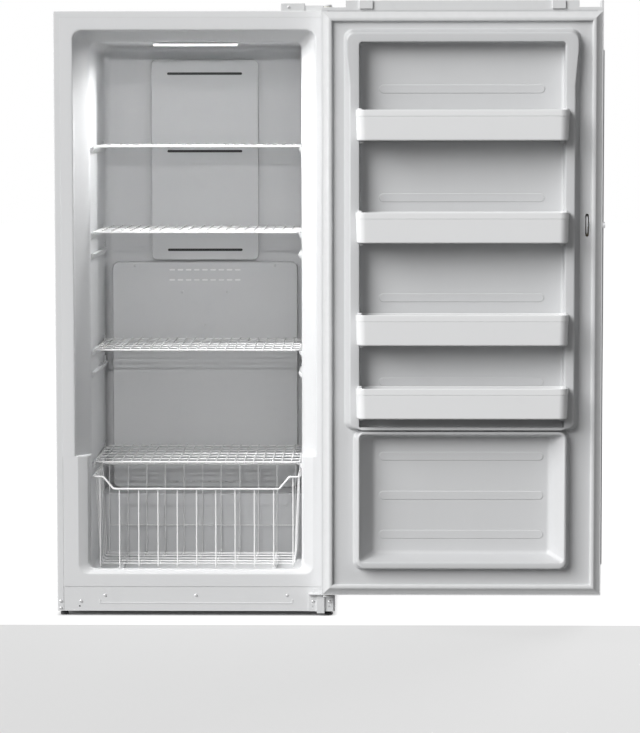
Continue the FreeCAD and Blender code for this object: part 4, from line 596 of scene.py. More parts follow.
def loft(
    name: str, rings: Sequence[Sequence[Vector]], first: bool = False, last: bool = False, flip: bool = False
) -> bpy.types.Object:
    """Pulls an outline from ring to ring.

    Args:
        name: the new object's name.
        rings: outlines with the same number of points, in metres.
        first: whether the first outline is closed with a face.
        last: whether the last outline is closed with a face.
        flip: whether an open sheet's normals are turned round.

    Returns:
        The lofted object.
    """
    only()
    bpy.ops.mesh.primitive_circle_add(vertices=len(rings[0]), radius=1)
    piece = bpy.context.object
    piece.name = name
    for vertex, point in zip(piece.data.vertices, rings[0]):
        vertex.co = point
    bpy.ops.object.mode_set(mode="EDIT")
    bpy.ops.mesh.select_mode(type="VERT")
    bpy.ops.mesh.select_all(action="SELECT")
    rank = {i: i for i in range(len(rings[0]))}
    for points in rings[1:]:
        bpy.ops.mesh.extrude_region_move()
        mesh = bmesh.from_edit_mesh(piece.data)
        mesh.verts.index_update()
        fresh = {}
        for vertex in mesh.verts:
            if vertex.select:
                source = next(e.other_vert(vertex) for e in vertex.link_edges if not e.other_vert(vertex).select)
                fresh[vertex.index] = rank[source.index]
                vertex.co = points[rank[source.index]]
        rank = fresh
        bmesh.update_edit_mesh(piece.data)
    if last:
        bpy.ops.mesh.edge_face_add()
    if first:
        bpy.ops.mesh.select_all(action="DESELECT")
        mesh = bmesh.from_edit_mesh(piece.data)
        mesh.verts.ensure_lookup_table()
        for i in range(len(rings[0])):
            mesh.verts[i].select = True
        mesh.select_flush_mode()
        mesh.select_flush(True)
        bmesh.update_edit_mesh(piece.data)
        bpy.ops.mesh.edge_face_add()
    bpy.ops.mesh.select_all(action="SELECT")
    bpy.ops.mesh.remove_doubles(threshold=WELD)
    bpy.ops.mesh.normals_make_consistent(inside=flip)
    bpy.ops.object.mode_set(mode="OBJECT")
    return piece


def apply(piece: bpy.types.Object, kind: str, **settings: object) -> None:
    """Adds a modifier with its settings and applies it.

    Args:
        piece: the object.
        kind: the modifier's type.
        settings: its settings.
    """
    only(piece)
    made = piece.modifiers.new(kind.title(), kind)
    for name, setting in settings.items():
        setattr(made, name, setting)
    bpy.ops.object.modifier_apply(modifier=made.name)


def joined(name: str, pieces: Sequence[bpy.types.Object]) -> bpy.types.Object:
    """Joins pieces into one object.

    Args:
        name: the name of the whole.
        pieces: the objects; the first one stays.

    Returns:
        The whole.
    """
    only(*pieces)
    if len(pieces) > 1:
        bpy.ops.object.join()
    whole = bpy.context.view_layer.objects.active
    whole.name = name
    return whole


def copied(piece: bpy.types.Object, name: str, move: Vector) -> bpy.types.Object:
    """A copy with its own mesh, moved in its mesh.

    Args:
        piece: the object.
        name: the copy's name.
        move: how far the copy's mesh is moved, in metres.

    Returns:
        The copy.
    """
    twin = bpy.data.objects.new(name, piece.data.copy())
    bpy.context.scene.collection.objects.link(twin)
    twin.data.transform(Matrix.Translation(move))
    return twin


def carved(piece: bpy.types.Object, cutters: Sequence[bpy.types.Object]) -> bpy.types.Object:
    """Takes the cutters' space out of a piece.

    Args:
        piece: the object that is cut.
        cutters: what is taken out of it; they are used up.

    Returns:
        The cut object.
    """
    tool = joined("cutter", cutters)
    apply(piece, "BOOLEAN", operation="DIFFERENCE", solver="EXACT", object=tool)
    bpy.data.objects.remove(tool)
    return piece


def block(name: str, low: Point, high: Point, edge: float = 0.0, segments: int = 2) -> bpy.types.Object:
    """A block between two corners in millimetres, its edges rounded by edge.

    Args:
        name: the new object's name.
        low: its least corner.
        high: its greatest corner.
        edge: the rounding in millimetres.
        segments: facets in the rounding.

    Returns:
        The block.
    """
    only()
    middle = [(a + b) / 2 * MM for a, b in zip(low, high)]
    size = [(b - a) * MM for a, b in zip(low, high)]
    bpy.ops.mesh.primitive_cube_add(size=1, location=middle, scale=size)
    piece = bpy.context.object
    piece.name = name
    bpy.ops.object.transform_apply(location=True, rotation=True, scale=True)
    if edge:
        apply(piece, "BEVEL", width=edge * MM, segments=segments, limit_method="NONE")
    return piece


def spanning(name: str, near: Vector, far: Vector, edge: float, segments: int = 2) -> bpy.types.Object:
    """A block between two opposite corners in metres, in whatever order they come.

    Args:
        name: the new object's name.
        near: one corner.
        far: the corner opposite to it.
        edge: the rounding of its edges in millimetres.
        segments: facets in the rounding.

    Returns:
        The block.
    """
    low = tuple(min(a, b) / MM for a, b in zip(near, far))
    high = tuple(max(a, b) / MM for a, b in zip(near, far))
    return block(name, low, high, edge, segments)


def opened(sheet: bpy.types.Object, goes: Callable[[bmesh.types.BMFace], bool]) -> None:
    """Takes faces away from a sheet.

    Args:
        sheet: the sheet.
        goes: tells whether a face goes.
    """
    only(sheet)
    bpy.ops.object.mode_set(mode="EDIT")
    bpy.ops.mesh.select_all(action="DESELECT")
    bpy.ops.mesh.select_mode(type="FACE")
    mesh = bmesh.from_edit_mesh(sheet.data)
    for face in mesh.faces:
        face.select = goes(face)
    bmesh.update_edit_mesh(sheet.data)
    bpy.ops.mesh.delete(type="FACE")
    bpy.ops.object.mode_set(mode="OBJECT")


def turned(name: str, profile: Sequence[Flat], centre: Vector, axis: str, sides: int = 32) -> bpy.types.Object:
    """A round piece about an axis.

    Args:
        name: the new object's name.
        profile: distance along the axis and radius, in millimetres, from one end to the other.
        centre: the axis's start in metres.
        axis: X, Y or Z, with - in front to run the other way.
        sides: flats round the piece.

    Returns:
        The turned object, closed at both ends.
    """
    way = -1 if axis.startswith("-") else 1
    along = {"X": Vector((1, 0, 0)), "Y": Vector((0, 1, 0)), "Z": Vector((0, 0, 1))}[axis[-1]] * way
    side = Vector((0, 0, 1)) if axis[-1] != "Z" else Vector((1, 0, 0))
    other = along.cross(side)
    rings = []
    for reach, radius in profile:
        middle = centre + along * reach * MM
        rings.append([
            middle + (side * math.cos(t) + other * math.sin(t)) * max(radius, 0.01) * MM
            for t in (2 * math.pi * k / sides for k in range(sides))
        ])
    return loft(name, rings, first=True, last=True)


def wire(
    name: str, points: Sequence[Vector], width: float, bend: float = 0.0, closed: bool = False, sides: int = 2
) -> bpy.types.Object:
    """A bent wire as a mesh.

    Args:
        name: the new object's name.
        points: the corners of its middle line, in metres.
        width: its diameter in millimetres.
        bend: the radius of its bends in millimetres.
        closed: whether it is a ring.
        sides: how finely it is rounded.

    Returns:
        The wire's object.
    """
    only()
    bpy.ops.curve.primitive_bezier_curve_add()
    piece = bpy.context.object
    piece.name = name
    piece.data.splines.clear()
    path = bent(points, [bend * MM] * len(points), 4, closed) if bend else list(points)
    line = piece.data.splines.new("POLY")
    line.points.add(len(path) - 1)
    for point, place in zip(line.points, path):
        point.co = (*place, 1)
    line.use_cyclic_u = closed
    piece.data.bevel_depth = width / 2 * MM
    piece.data.bevel_resolution = sides
    piece.data.use_fill_caps = not closed
    bpy.ops.object.convert(target="MESH")
    return bpy.context.object


def softened(node: str, edge: float, segments: int = 2) -> bpy.types.Object:
    """A CAD node's shape with its hard edges rounded as the real part's are.

    Args:
        node: the CAD node.
        edge: the rounding in millimetres.
        segments: facets in the rounding.

    Returns:
        The new piece, with the node's place in its mesh.
    """
    weld, flat, sharp = 2e-6, math.radians(0.7), math.radians(40)
    piece = bpy.data.objects.new(f"{node}_formed", frame["nodes"][node].data.copy())
    bpy.context.scene.collection.objects.link(piece)
    only(piece)
    bpy.ops.object.mode_set(mode="EDIT")
    bpy.ops.mesh.select_all(action="SELECT")
    bpy.ops.mesh.remove_doubles(threshold=weld)
    bpy.ops.mesh.dissolve_limited(angle_limit=flat)
    bpy.ops.object.mode_set(mode="OBJECT")
    if edge:
        apply(piece, "BEVEL", width=edge * MM, segments=segments, limit_method="ANGLE", angle_limit=sharp)
    return piece


def shrunk(node: str, inset: float) -> bpy.types.Object:
    """A filling's shape, set back from the sheets around it so that their bends clear it.

    Args:
        node: the CAD node of the filling.
        inset: how far its faces are set back, in millimetres.

    Returns:
        The new piece.
    """
    piece = softened(node, 0)
    apply(piece, "DISPLACE", strength=-inset * MM, mid_level=0.0)
    return piece


def hand_over(
    piece: bpy.types.Object, finish: Finish, part: str, *nodes: str, smooth: float = 35
) -> bpy.types.Object:
    """Finishes a piece: shading, finish, the part it moves with and the CAD nodes it stands for.

    Args:
        piece: the modelled object.
        finish: what it is made of.
        part: the moving group it belongs to.
        nodes: the CAD nodes it replaces.
        smooth: the angle below which edges shade smoothly, in degrees.

    Returns:
        The same object.
    """
    only(piece)
    bpy.ops.object.shade_smooth_by_angle(angle=math.radians(smooth))
    apply(piece, "WEIGHTED_NORMAL", mode="FACE_AREA", keep_sharp=True)
    piece.data.materials.clear()
    piece.data.materials.append(finish.material())
    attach(piece, part)
    if nodes:
        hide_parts(*nodes)
    LOG.info("%s: %d faces, rides on %s", piece.name, len(piece.data.polygons), part)
    return piece


def soften_all(*rows: tuple[str, Finish, str, float, int]) -> None:
    """Rounds the edges of CAD nodes and hands them over.

    Args:
        rows: each node's name, finish, moving group, rounding in millimetres and facets in it.
    """
    for node, finish, part, edge, segments in rows:
        hand_over(softened(node, edge, segments), finish, part, node)


def dress(finish: Finish, *nodes: str) -> None:
    """Gives CAD nodes that keep their own shape a finish.

    Args:
        finish: the finish.
        nodes: the CAD nodes.
    """
    for node in nodes:
        thing = frame["nodes"][node]
        for slot in thing.material_slots:
            slot.link = "OBJECT"
            slot.material = finish.material()
        LOG.info("%s keeps its shape, finish %s", node, finish.slot)


# ------------------------------------------------------------------ cabinet


@dataclass
class Casing:
    """The cabinet's folded steel wrapper with its rounded folds."""

    half: float = 419.0
    low: float = 14.0
    top: float = 1813.0
    depth: float = 685.0
    flange: float = 20.0
    fold: float = 3.0

    def outline(self, y: float, inset: float) -> list[Vector]:
        """The wrapper's outline at a depth, set in from the outside by inset.

        Args:
            y: the depth.
            inset: how far it is set in.

        Returns:
            The outline's points.
        """
        bend = max(self.fold - inset, 1.0)
        half, top = self.half - inset, self.top - inset
        corners = [(-half, self.low, 0.05), (half, self.low, 0.05), (half, top, bend), (-half, top, bend)]
        return ring(corners, at_y(y), 4)

    def build(self) -> None:
        """Pulls the sheet from the front flange back, then takes the underside away."""
        steps = [(2.2, self.flange), (0.8, self.flange), (0.1, self.flange - 0.7), (0.0, self.flange - 2)]
        steps += [(0.0, 3.0), (0.4, 1.5), (1.5, 0.4), (3.0, 0.0), (self.depth - 0.6, 0.0), (self.depth, 0.3)]
        piece = loft("casing", [self.outline(y, inset) for y, inset in steps])
        underside = (self.low + 1) * MM
        opened(piece, lambda face: all(v.co.z < underside for v in face.verts))
        apply(piece, "SOLIDIFY", thickness=STEEL_SHEET * MM, offset=-1)
        carved(piece, [self.mitre(side) for side in (-1, 1)])
        hand_over(piece, Finishes.CASE, Part.CABINET, "cabinet_wrapper")

    def mitre(self, side: int) -> bpy.types.Object:
        """A cutter for the fine line where the front flange's two folds meet at a top corner.

        Args:
            side: -1 for the left corner, 1 for the right.

        Returns:
            The cutter.
        """
        far, near, wide, before, deep = 0.4, self.flange + 1.0, 0.55, -1.0, 0.5
        line = [(far, far - wide), (near, near - wide), (near, near + wide), (far, far + wide)]
        corners = [(side * (self.half - a), self.top - b, 0.02) for a, b in line]
        return loft("mitre", [ring(corners, at_y(y), 2) for y in (before, deep)], first=True, last=True)


@dataclass
class Liner:
    """The vacuum-formed inner liner: flange, splayed mouth, flared throat, compartment and step."""

    half: float = 320.0
    floor: float = 122.0
    back: float = 625.0
    ledge: float = 482.0
    wall: float = 1.8
    mouth_depth: float = 82.0
    hump_front: float = 430.0
    hump_top: float = 320.0
    runner_x: float = 233.2
    runner_half: float = 6.0
    runner_height: float = 17.9
    runner_front: float = 60.0
    runner_back: float = 370.0
    rib_pitch: float = 27.7
    ribs_a_side: int = 10

    def station(
        self, y: float, low_half: float, low: float, half: float, top: float, bend: float, nick: float
    ) -> list[Vector]:
        """One outline of the opening at depth y, with its step at the ledge height.

        Args:
            y: the depth.
            low_half: half the width below the ledge.
            low: the height of the floor.
            half: half the width above the ledge.
            top: the height of the ceiling.
            bend: the corners' radius.
            nick: the radius of the bends at the ledge.

        Returns:
            The outline's points.
        """
        corners = [
            (-low_half, low, bend), (low_half, low, bend), (low_half, self.ledge, nick), (half, self.ledge, nick),
            (half, top, bend), (-half, top, bend), (-half, self.ledge, nick), (-low_half, self.ledge, nick),
        ]
        return ring(corners, at_y(y), 7)

    def build(self) -> None:
        """Forms the sheet from the flange to the back wall, then adds the step and the runners."""
        stations = [
            (0.3, 397.9, 89.3, 398.4, 1792.4, 0.6, 0.1), (0.0, 397.2, 90.0, 397.8, 1791.8, 0.6, 0.1),
            (0.0, 355.2, 124.3, 366.2, 1760.7, 30, 3.4),
            (0.0, 354.0, 125.5, 365.0, 1759.5, 29, 3), (0.7, 351.5, 127.6, 363.2, 1757.6, 28, 3),
            (2.6, 346.0, 130.4, 362.2, 1756.4, 27, 3), (6.0, 335.0, 134.6, 361.5, 1755.6, 26, 3),
            (9.0, 327.2, 137.8, 361.0, 1755.1, 25, 3), (12.0, 325.4, 138.9, 360.2, 1754.4, 25, 3),
            (18.0, 325.0, 139.0, 357.0, 1751.6, 25, 4), (29.0, 325.0, 139.0, 350.2, 1745.8, 25, 5),
            (31.5, 324.0, 137.4, 348.6, 1744.6, 25, 5), (33.0, 322.0, 131.0, 347.6, 1743.8, 24, 5),
            (35.0, 320.6, 124.0, 346.2, 1742.8, 23, 5), (38.0, 320.0, 122.2, 344.2, 1741.2, 23, 5),
            (52.0, 319.6, 122.0, 334.2, 1734.0, 23, 5), (64.0, 319.5, 122.0, 325.6, 1727.8, 23, 3),
            (72.0, 319.5, 122.0, 321.2, 1724.8, 23, 0.8), (self.mouth_depth, 319.6, 122.0, 320.1, 1724.0, 23, 0.1),
            (300.0, 319.6, 122.0, 320.0, 1724.0, 23, 0.1), (600.0, 319.6, 122.0, 320.0, 1724.0, 23, 0.1),
            (611.0, 318.0, 123.6, 318.4, 1722.4, 23, 0.1), (618.5, 313.6, 128.0, 314.0, 1718.0, 22, 0.1),
            (623.2, 307.0, 134.6, 307.4, 1711.4, 18, 0.1), (624.8, 297.6, 144.0, 298.0, 1702.0, 10, 0.1),
        ]
        rings = [self.station(*s) for s in stations]
        split = next(i for i, s in enumerate(stations) if s[0] == self.mouth_depth)
        front = loft("liner_front", rings[:split + 1], flip=True)
        sheet = loft("liner_sheet", rings[split:], last=True, flip=True)
        for part in (front, sheet):
            apply(part, "SOLIDIFY", thickness=self.wall * MM, offset=-1)
        pieces = [sheet, self.step()]
        for x in (-self.runner_x, self.runner_x):
            low = (x - self.runner_half, self.runner_front, self.floor - 1)
            high = (x + self.runner_half, self.runner_back, self.floor + self.runner_height)
            pieces.append(block("runner", low, high, 3.0, 3))
        whole = joined("inner_liner_formed", pieces)
        hand_over(whole, Finishes.LINER, Part.CABINET, "inner_liner")
        mouth = joined("inner_liner_mouth", [front, self.roof_ribs()])
        hand_over(mouth, Finishes.LINER, Part.CABINET, "inner_liner")

    def roof_ribs(self) -> bpy.types.Object:
        """The row of fine ribs that runs back along the sloping top of the throat.

        Returns:
            The ribs as one object.
        """
        section = [(-2.4, -1.4, 0.2), (2.4, -1.4, 0.2), (1.2, 1.6, 0.7), (-1.2, 1.6, 0.7)]
        run = [(13, 1754.8), (15, 1752.9), (70, 1725.6), (76, 1725.5)]
        rings = [ring(section, lambda a, b, y=y, z=z: mm(a, y, z - b), 2) for y, z in run]
        first = loft("roof_rib", rings, first=True, last=True)
        places = [side * self.rib_pitch * (k + 0.5) for side in (-1, 1) for k in range(self.ribs_a_side)]
        ribs = [copied(first, "roof_rib", mm(x, 0, 0)) for x in places]
        bpy.data.objects.remove(first)
        return joined("roof_ribs", ribs)

    def step(self) -> bpy.types.Object:
        """The step over the machine space, with a wide bend along its front edge.

        Returns:
            The step as a closed piece.
        """
        front, top, back = self.hump_front, self.hump_top, self.back + 0.5
        corners = [(front - 26, self.floor + 0.2, 0.3), (front - 8, self.floor + 0.2, 8), (front, self.floor + 12, 8)]
        corners += [(front, top, 6), (back, top, 0.3), (back, self.floor - 1, 0.3), (front - 26, self.floor - 1, 0.3)]
        rings = [ring(corners, at_x(x), 6) for x in (-self.half - 0.5, self.half + 0.5)]
        return loft("liner_step", rings, first=True, last=True)


@dataclass(frozen=True)
class Cover:
    """The sizes of one moulded cover, in millimetres."""

    half: float
    low: float
    high: float
    front: float
    bend: float


@dataclass
class BackCovers:
    """The air duct's cover and the evaporator's cover on the back wall."""

    duct: Cover = Cover(170.5, 1045, 1681, 600, 18)
    evaporator: Cover = Cover(294.5, 320.4, 1040, 578, 20)
    back: float = 624.6
    wall: float = 2.0
    slots: tuple[float, ...] = (1636.0, 1391.0, 1078.0)
    slot_half: float = 119.0
    slot_high: float = 8.0
    # a black plate behind the duct's slots: painted shade inside the duct
    lining_low: Point = (-160, 608, 1052)
    lining_high: Point = (160, 612, 1674)
    vent_rows: tuple[float, ...] = (1015.5, 983.5, 339.5)
    vents: int = 9
    vent_pitch: float = 26.0
    vent_half: float = 9.0
    vent_high: float = 5.0
    vane_half: float = 118.0
    screws: tuple[Flat, ...] = ((-223, 1029), (223, 1029), (-71.5, 945), (71.5, 945), (0, 838))

    def tray(self, name: str, cover: Cover) -> bpy.types.Object:
        """A moulded cover whose front edge is rolled over, open at the back.

        Args:
            name: the new object's name.
            cover: the cover's sizes.

        Returns:
            The cover, not yet cut.
        """
        front, least = cover.front, 4
        rings = []
        for y, inset in ((self.back, 0), (front + 6, 0), (front + 2.4, 0.5), (front + 0.6, 2.0), (front, 4.5)):
            bend = max(cover.bend - inset, least)
            corners = oblong(cover.half - inset, cover.low + inset, cover.high - inset, bend)
            rings.append(ring(corners, at_y(y), 6))
        piece = loft(name, rings, last=True)
        apply(piece, "SOLIDIFY", thickness=self.wall * MM, offset=-1)
        return piece

    def slot(self, half: float, z: float, thick: float, y: float, middle: float = 0.0) -> bpy.types.Object:
        """A round-ended cutter through a cover's face.

        Args:
            half: half its width.
            z: its middle height.
            thick: its height.
            y: the depth of the cover's face.
            middle: how far its middle lies from the cabinet's.

        Returns:
            The cutter.
        """
        corners = oblong(half, z - thick / 2, z + thick / 2, thick / 2 - 0.05, middle)
        before, behind = y - 4, y + 8
        return loft("slot", [ring(corners, at_y(depth), 5) for depth in (before, behind)], first=True, last=True)

    def build(self) -> None:
        """Both covers, with a black plate behind the duct's slots that paints shade there, and vanes in the vents
        coloured lighter as a painted highlight.
        """
        duct = self.tray("duct_cover_formed", self.duct)
        carved(duct, [self.slot(self.slot_half, z, self.slot_high, self.duct.front) for z in self.slots])
        hand_over(duct, Finishes.COVER, Part.CABINET, "duct_cover")
        # black plate behind the slots: painted shade, so the duct's openings look dark
        shade_plate = block("duct_lining", self.lining_low, self.lining_high, 1.5)
        hand_over(shade_plate, Finishes.BLACK, Part.CABINET)
        cover = self.tray("evaporator_cover_formed", self.evaporator)
        top_row = self.vent_rows[0]
        left = -self.vent_pitch * (self.vents - 1) / 2
        first = self.slot(self.vent_half, top_row, self.vent_high, self.evaporator.front, left)
        cutters = [first]
        for z in self.vent_rows:
            for i in range(self.vents):
                if z != top_row or i:
                    cutters.append(copied(first, "slot", mm(self.vent_pitch * i, 0, z - top_row)))
        carved(cover, cutters)
        hand_over(cover, Finishes.COVER, Part.CABINET, "evaporator_cover")
        # vanes in the vent slots, coloured brighter than the cover: painted highlight
        vanes = []
        for z in self.vent_rows:
            low, high = z - 4, z + 5
            profile = [(578.3, low, 0.2), (581, low, 0.3), (584, high, 0.3), (580.2, high, 0.3)]
            rings = [ring(profile, at_x(x), 2) for x in (-self.vane_half, self.vane_half)]
            vanes.append(loft("vane", rings, first=True, last=True))
        hand_over(joined("vent_vanes", vanes), Finishes.VANE, Part.CABINET)


@dataclass
class Light:
    """The light under the compartment's ceiling."""

    half: float = 130.0
    front: float = 78.0
    depth: float = 26.0
    top: float = 1724.0
    clip_in: float = 14.0
    clip_half: float = 5.0
    clip_reach: float = 13.0

    def build(self) -> None:
        """A base with rounded ends and a lens that bulges below it."""
        back = self.front + self.depth
        low, high = (-self.half, self.front, self.top - 6), (self.half, back, self.top - 0.1)
        base = block("light_base_formed", low, high, 2.2, 3)
        hand_over(base, Finishes.MOULDING, Part.CABINET, "light_base")
        middle = self.front + self.depth / 2
        rings = []
        for z, inset in ((-6.0, 3.0), (-9.5, 3.0), (-11.8, 3.8), (-12.8, 5.4), (-13.0, 8.0)):
            corners = oblong(self.half - inset, self.front + inset, back - inset, 4.0)
            rings.append(ring(corners, at_z(self.top + z), 4))
        pieces = [loft("light_lens_formed", rings, first=True, last=True)]
        for x in (-self.half + self.clip_in, self.half - self.clip_in):
            low = (x - self.clip_half, middle - self.clip_reach, self.top - 8)
            high = (x + self.clip_half, middle + self.clip_reach, self.top - 5)
            pieces.append(block("clip", low, high, 0.8))
        hand_over(joined("light_lens_formed", pieces), Finishes.LENS, Part.CABINET, "light_lens")


@dataclass
class Shelf:
    """A wire shelf: frame ring, cross wires and deck wires that hook over the frame."""

    half: float = 314.0
    front: float = 92.0
    back: float = 565.0
    frame_wire: float = 6.0
    deck_wire: float = 3.5
    cross_wire: float = 4.0
    corner: float = 20.0
    crosses: int = 5
    decks: int = 21
    pitch: float = 28.6
    hook: float = 7.0
    hook_bend: float = 2.6
    tops: tuple[float, ...] = (1415.0, 1157.0, 801.0, 460.0)

    def first(self) -> bpy.types.Object:
        """The top shelf, from which the others are copied.

        Returns:
            The shelf.
        """
        half, front, back = self.half - 3, self.front + 3, self.back - 3
        z = self.tops[0] - self.deck_wire / 2 - self.frame_wire / 2
        corners = [mm(-half, front, z), mm(half, front, z), mm(half, back, z), mm(-half, back, z)]
        pieces = [wire("frame", corners, self.frame_wire, bend=self.corner, closed=True, sides=3)]
        step = (back - front) / (self.crosses + 1)
        level = z + self.frame_wire / 2 - self.cross_wire / 2
        for i in range(1, self.crosses + 1):
            y = front + step * i
            pieces.append(wire("cross", [mm(-half, y, level), mm(half, y, level)], self.cross_wire))
        top = self.tops[0]
        near, far = self.front + 0.4, self.back - 0.4
        path = [mm(0, near, top - self.hook), mm(0, near, top), mm(0, far, top), mm(0, far, top - self.hook)]
        deck = wire("deck", path, self.deck_wire, bend=self.hook_bend, sides=1)
        deck.data.transform(Matrix.Translation(mm(-self.pitch * (self.decks // 2), 0, 0)))
        row = {"use_relative_offset": False, "use_constant_offset": True}
        apply(deck, "ARRAY", count=self.decks, constant_offset_displace=(self.pitch * MM, 0, 0), **row)
        return joined("shelf_1_formed", pieces + [deck])

    def build(self) -> None:
        """Four shelves, three of them copies, each riding on its own body."""
        first = self.first()
        shelves = [first]
        for i, top in enumerate(self.tops[1:], start=2):
            shelves.append(copied(first, f"shelf_{i}_formed", mm(0, 0, top - self.tops[0])))
        for i, shelf in enumerate(shelves, start=1):
            hand_over(shelf, Finishes.WIRE, f"shelf_{i}", f"shelf_{i}_wires", smooth=50)


@dataclass
class Basket:
    """The pull-out basket: a dipped rim and two families of bent wires."""

    half: float = 312.0
    base_half: float = 292.0
    top: float = 416.5
    bottom: float = 142.0
    front: float = 40.0
    back: float = 392.0
    base_back: float = 374.0
    dip: float = 379.5
    dip_half: float = 250.0
    dip_edge: float = 281.0
    rim_wire: float = 6.0
    rim_bend: float = 11.0
    wire: float = 3.5
    wire_bend: float = 9.0
    longs: int = 11
    crosses: int = 5
    pitch: float = 58.3
    back_wire: float = 225.0

    def build(self) -> None:
        """Bends the rim, then the long and cross wires, as separate wires welded together."""
        rim = [
            (self.half, self.back, self.top), (-self.half, self.back, self.top), (-self.half, self.front, self.top),
            (-self.dip_edge, self.front, self.top), (-self.dip_half, self.front, self.dip),
            (self.dip_half, self.front, self.dip), (self.dip_edge, self.front, self.top),
            (self.half, self.front, self.top),
        ]
        pieces = [wire("rim", [mm(*p) for p in rim], self.rim_wire, bend=self.rim_bend, closed=True, sides=3)]
        inside = (self.rim_wire + self.wire) / 2
        for i in range(self.longs):
            x = self.pitch * (i - self.longs // 2)
            high = self.dip if abs(x) < self.dip_half else self.top
            path = [
                mm(x, self.front + inside, high + 1), mm(x, self.front + inside, self.bottom),
                mm(x, self.base_back, self.bottom), mm(x, self.back - inside, self.top + 1),
            ]
            pieces.append(wire("long_wire", path, self.wire, bend=self.wire_bend, sides=1))
        step = (self.base_back - self.front) / (self.crosses + 1)
        reach = self.base_half + self.wire
        low = self.bottom + self.wire
        for i in range(1, self.crosses + 1):
            y = self.front + step * i
            path = [
                mm(-self.half + inside, y, self.top + 1), mm(-reach, y, low),
                mm(reach, y, low), mm(self.half - inside, y, self.top + 1),
            ]
            pieces.append(wire("cross_wire", path, self.wire, bend=self.wire_bend, sides=1))
        share = (self.back_wire - self.bottom) / (self.top - self.bottom)
        behind = self.base_back + (self.back - inside - self.base_back) * share + self.wire
        path = [mm(-reach, behind, self.back_wire), mm(reach, behind, self.back_wire)]
        pieces.append(wire("back_wire", path, self.wire, sides=1))
        hand_over(joined("basket_formed", pieces), Finishes.WIRE, Part.BASKET, "basket", smooth=50)


@dataclass
class Screws:
    """Pan-head screws with a cross recess, modelled once and copied to every seat."""

    seats: dict[str, tuple[Point, ...]] = field(default_factory=lambda: {
        "kick_plate_screws": (
            (-274.5, 0, 61.5), (0, 0, 61.5), (274.5, 0, 61.5), (-347, 0, 43.5), (-408, 0, 43.5), (-408, 0, 22.5)),
        "lower_hinge_screws": ((352.5, -3, 43.5), (402.5, -3, 43.5)),
        "cover_screws": tuple((x, 578, z) for x, z in BackCovers().screws),
    })
    top_hinge_seats: tuple[Point, ...] = ((279, 41, 1816), (299, 41, 1816), (319, 41, 1816))
    hinge_cover_in: float = 24.0

    def master(self) -> bpy.types.Object:
        """One screw at the origin, its head standing out along -Y.

        Returns:
            The screw.
        """
        profile = [
            (-9, 1.2), (-8, 2.0), (-0.2, 2.0), (0, 4.2), (0.3, 4.5), (1.2, 4.4), (2.0, 3.6), (2.6, 2.2), (2.8, 0.0)]
        head = turned("screw", profile, Vector(), "-Y", 20)
        for across, up in ((0.6, 2.6), (2.6, 0.6)):
            carved(head, [block("arm", (-across, -3.4, -up), (across, -1.5, up))])
        return head

    def build(self) -> None:
        """Copies of the screw at each seat."""
        master = self.master()
        up = master.data.copy()
        up.transform(Matrix.Rotation(math.radians(-90), 4, "X"))
        for node, seats in self.seats.items():
            copies = [copied(master, "screw", mm(*seat)) for seat in seats]
            finish = Finishes.MOULDING if node == "cover_screws" else Finishes.SCREW
            hand_over(joined(f"{node}_formed", copies), finish, Part.CABINET, node)
        tops = []
        for seat in self.top_hinge_seats:
            twin = copied(master, "screw", Vector())
            twin.data = up.copy()
            twin.data.transform(Matrix.Translation(mm(*seat)))
            tops.append(twin)
        hand_over(joined("top_hinge_screws_formed", tops), Finishes.SCREW, Part.CABINET, "top_hinge_screws")
        low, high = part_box("top_hinge_cover")
        seat = Vector((low.x + self.hinge_cover_in * MM, low.y, (low.z + high.z) / 2))
        hand_over(copied(master, "hinge_cover_screw", seat), Finishes.SCREW, Part.CABINET)
        bpy.data.objects.remove(master)


@dataclass
class Feet:
    """Four levelling feet: a pad, a spanner hexagon and a threaded stud."""

    places: dict[str, Flat] = field(default_factory=lambda: {
        "foot_front_left": (-400, 30), "foot_front_right": (400, 30),
        "foot_rear_left": (-400, 655), "foot_rear_right": (400, 655),
    })
    spanner: float = 17.0
    thread_pitch: float = 1.25
    threads: int = 20

    def build(self) -> None:
        """One foot turned up, then copied to the four corners."""
        pad = turned("foot", [(0, 11), (0.8, 12), (6.5, 12), (8, 10.5), (8.2, 9)], Vector(), "Z", 28)
        reach = self.spanner / math.sqrt(3)
        nut = turned("nut", [(8, reach - 0.6), (8.6, reach), (23, reach), (23.7, reach - 0.7)], Vector(), "Z", 6)
        thread = [(23.5, 4.4)]
        for k in range(self.threads):
            rise = k * self.thread_pitch
            thread += [(24.0 + rise, 4.45), (24.6 + rise, 5.0)]
        thread += [(49.4, 4.4), (50, 3.6)]
        stud = turned("stud", thread, Vector(), "Z", 16)
        master = joined("foot", [pad, nut, stud])
        for node, (x, y) in self.places.items():
            hand_over(copied(master, f"{node}_formed", mm(x, y, 0)), Finishes.BLACK, node, node)
        bpy.data.objects.remove(master)


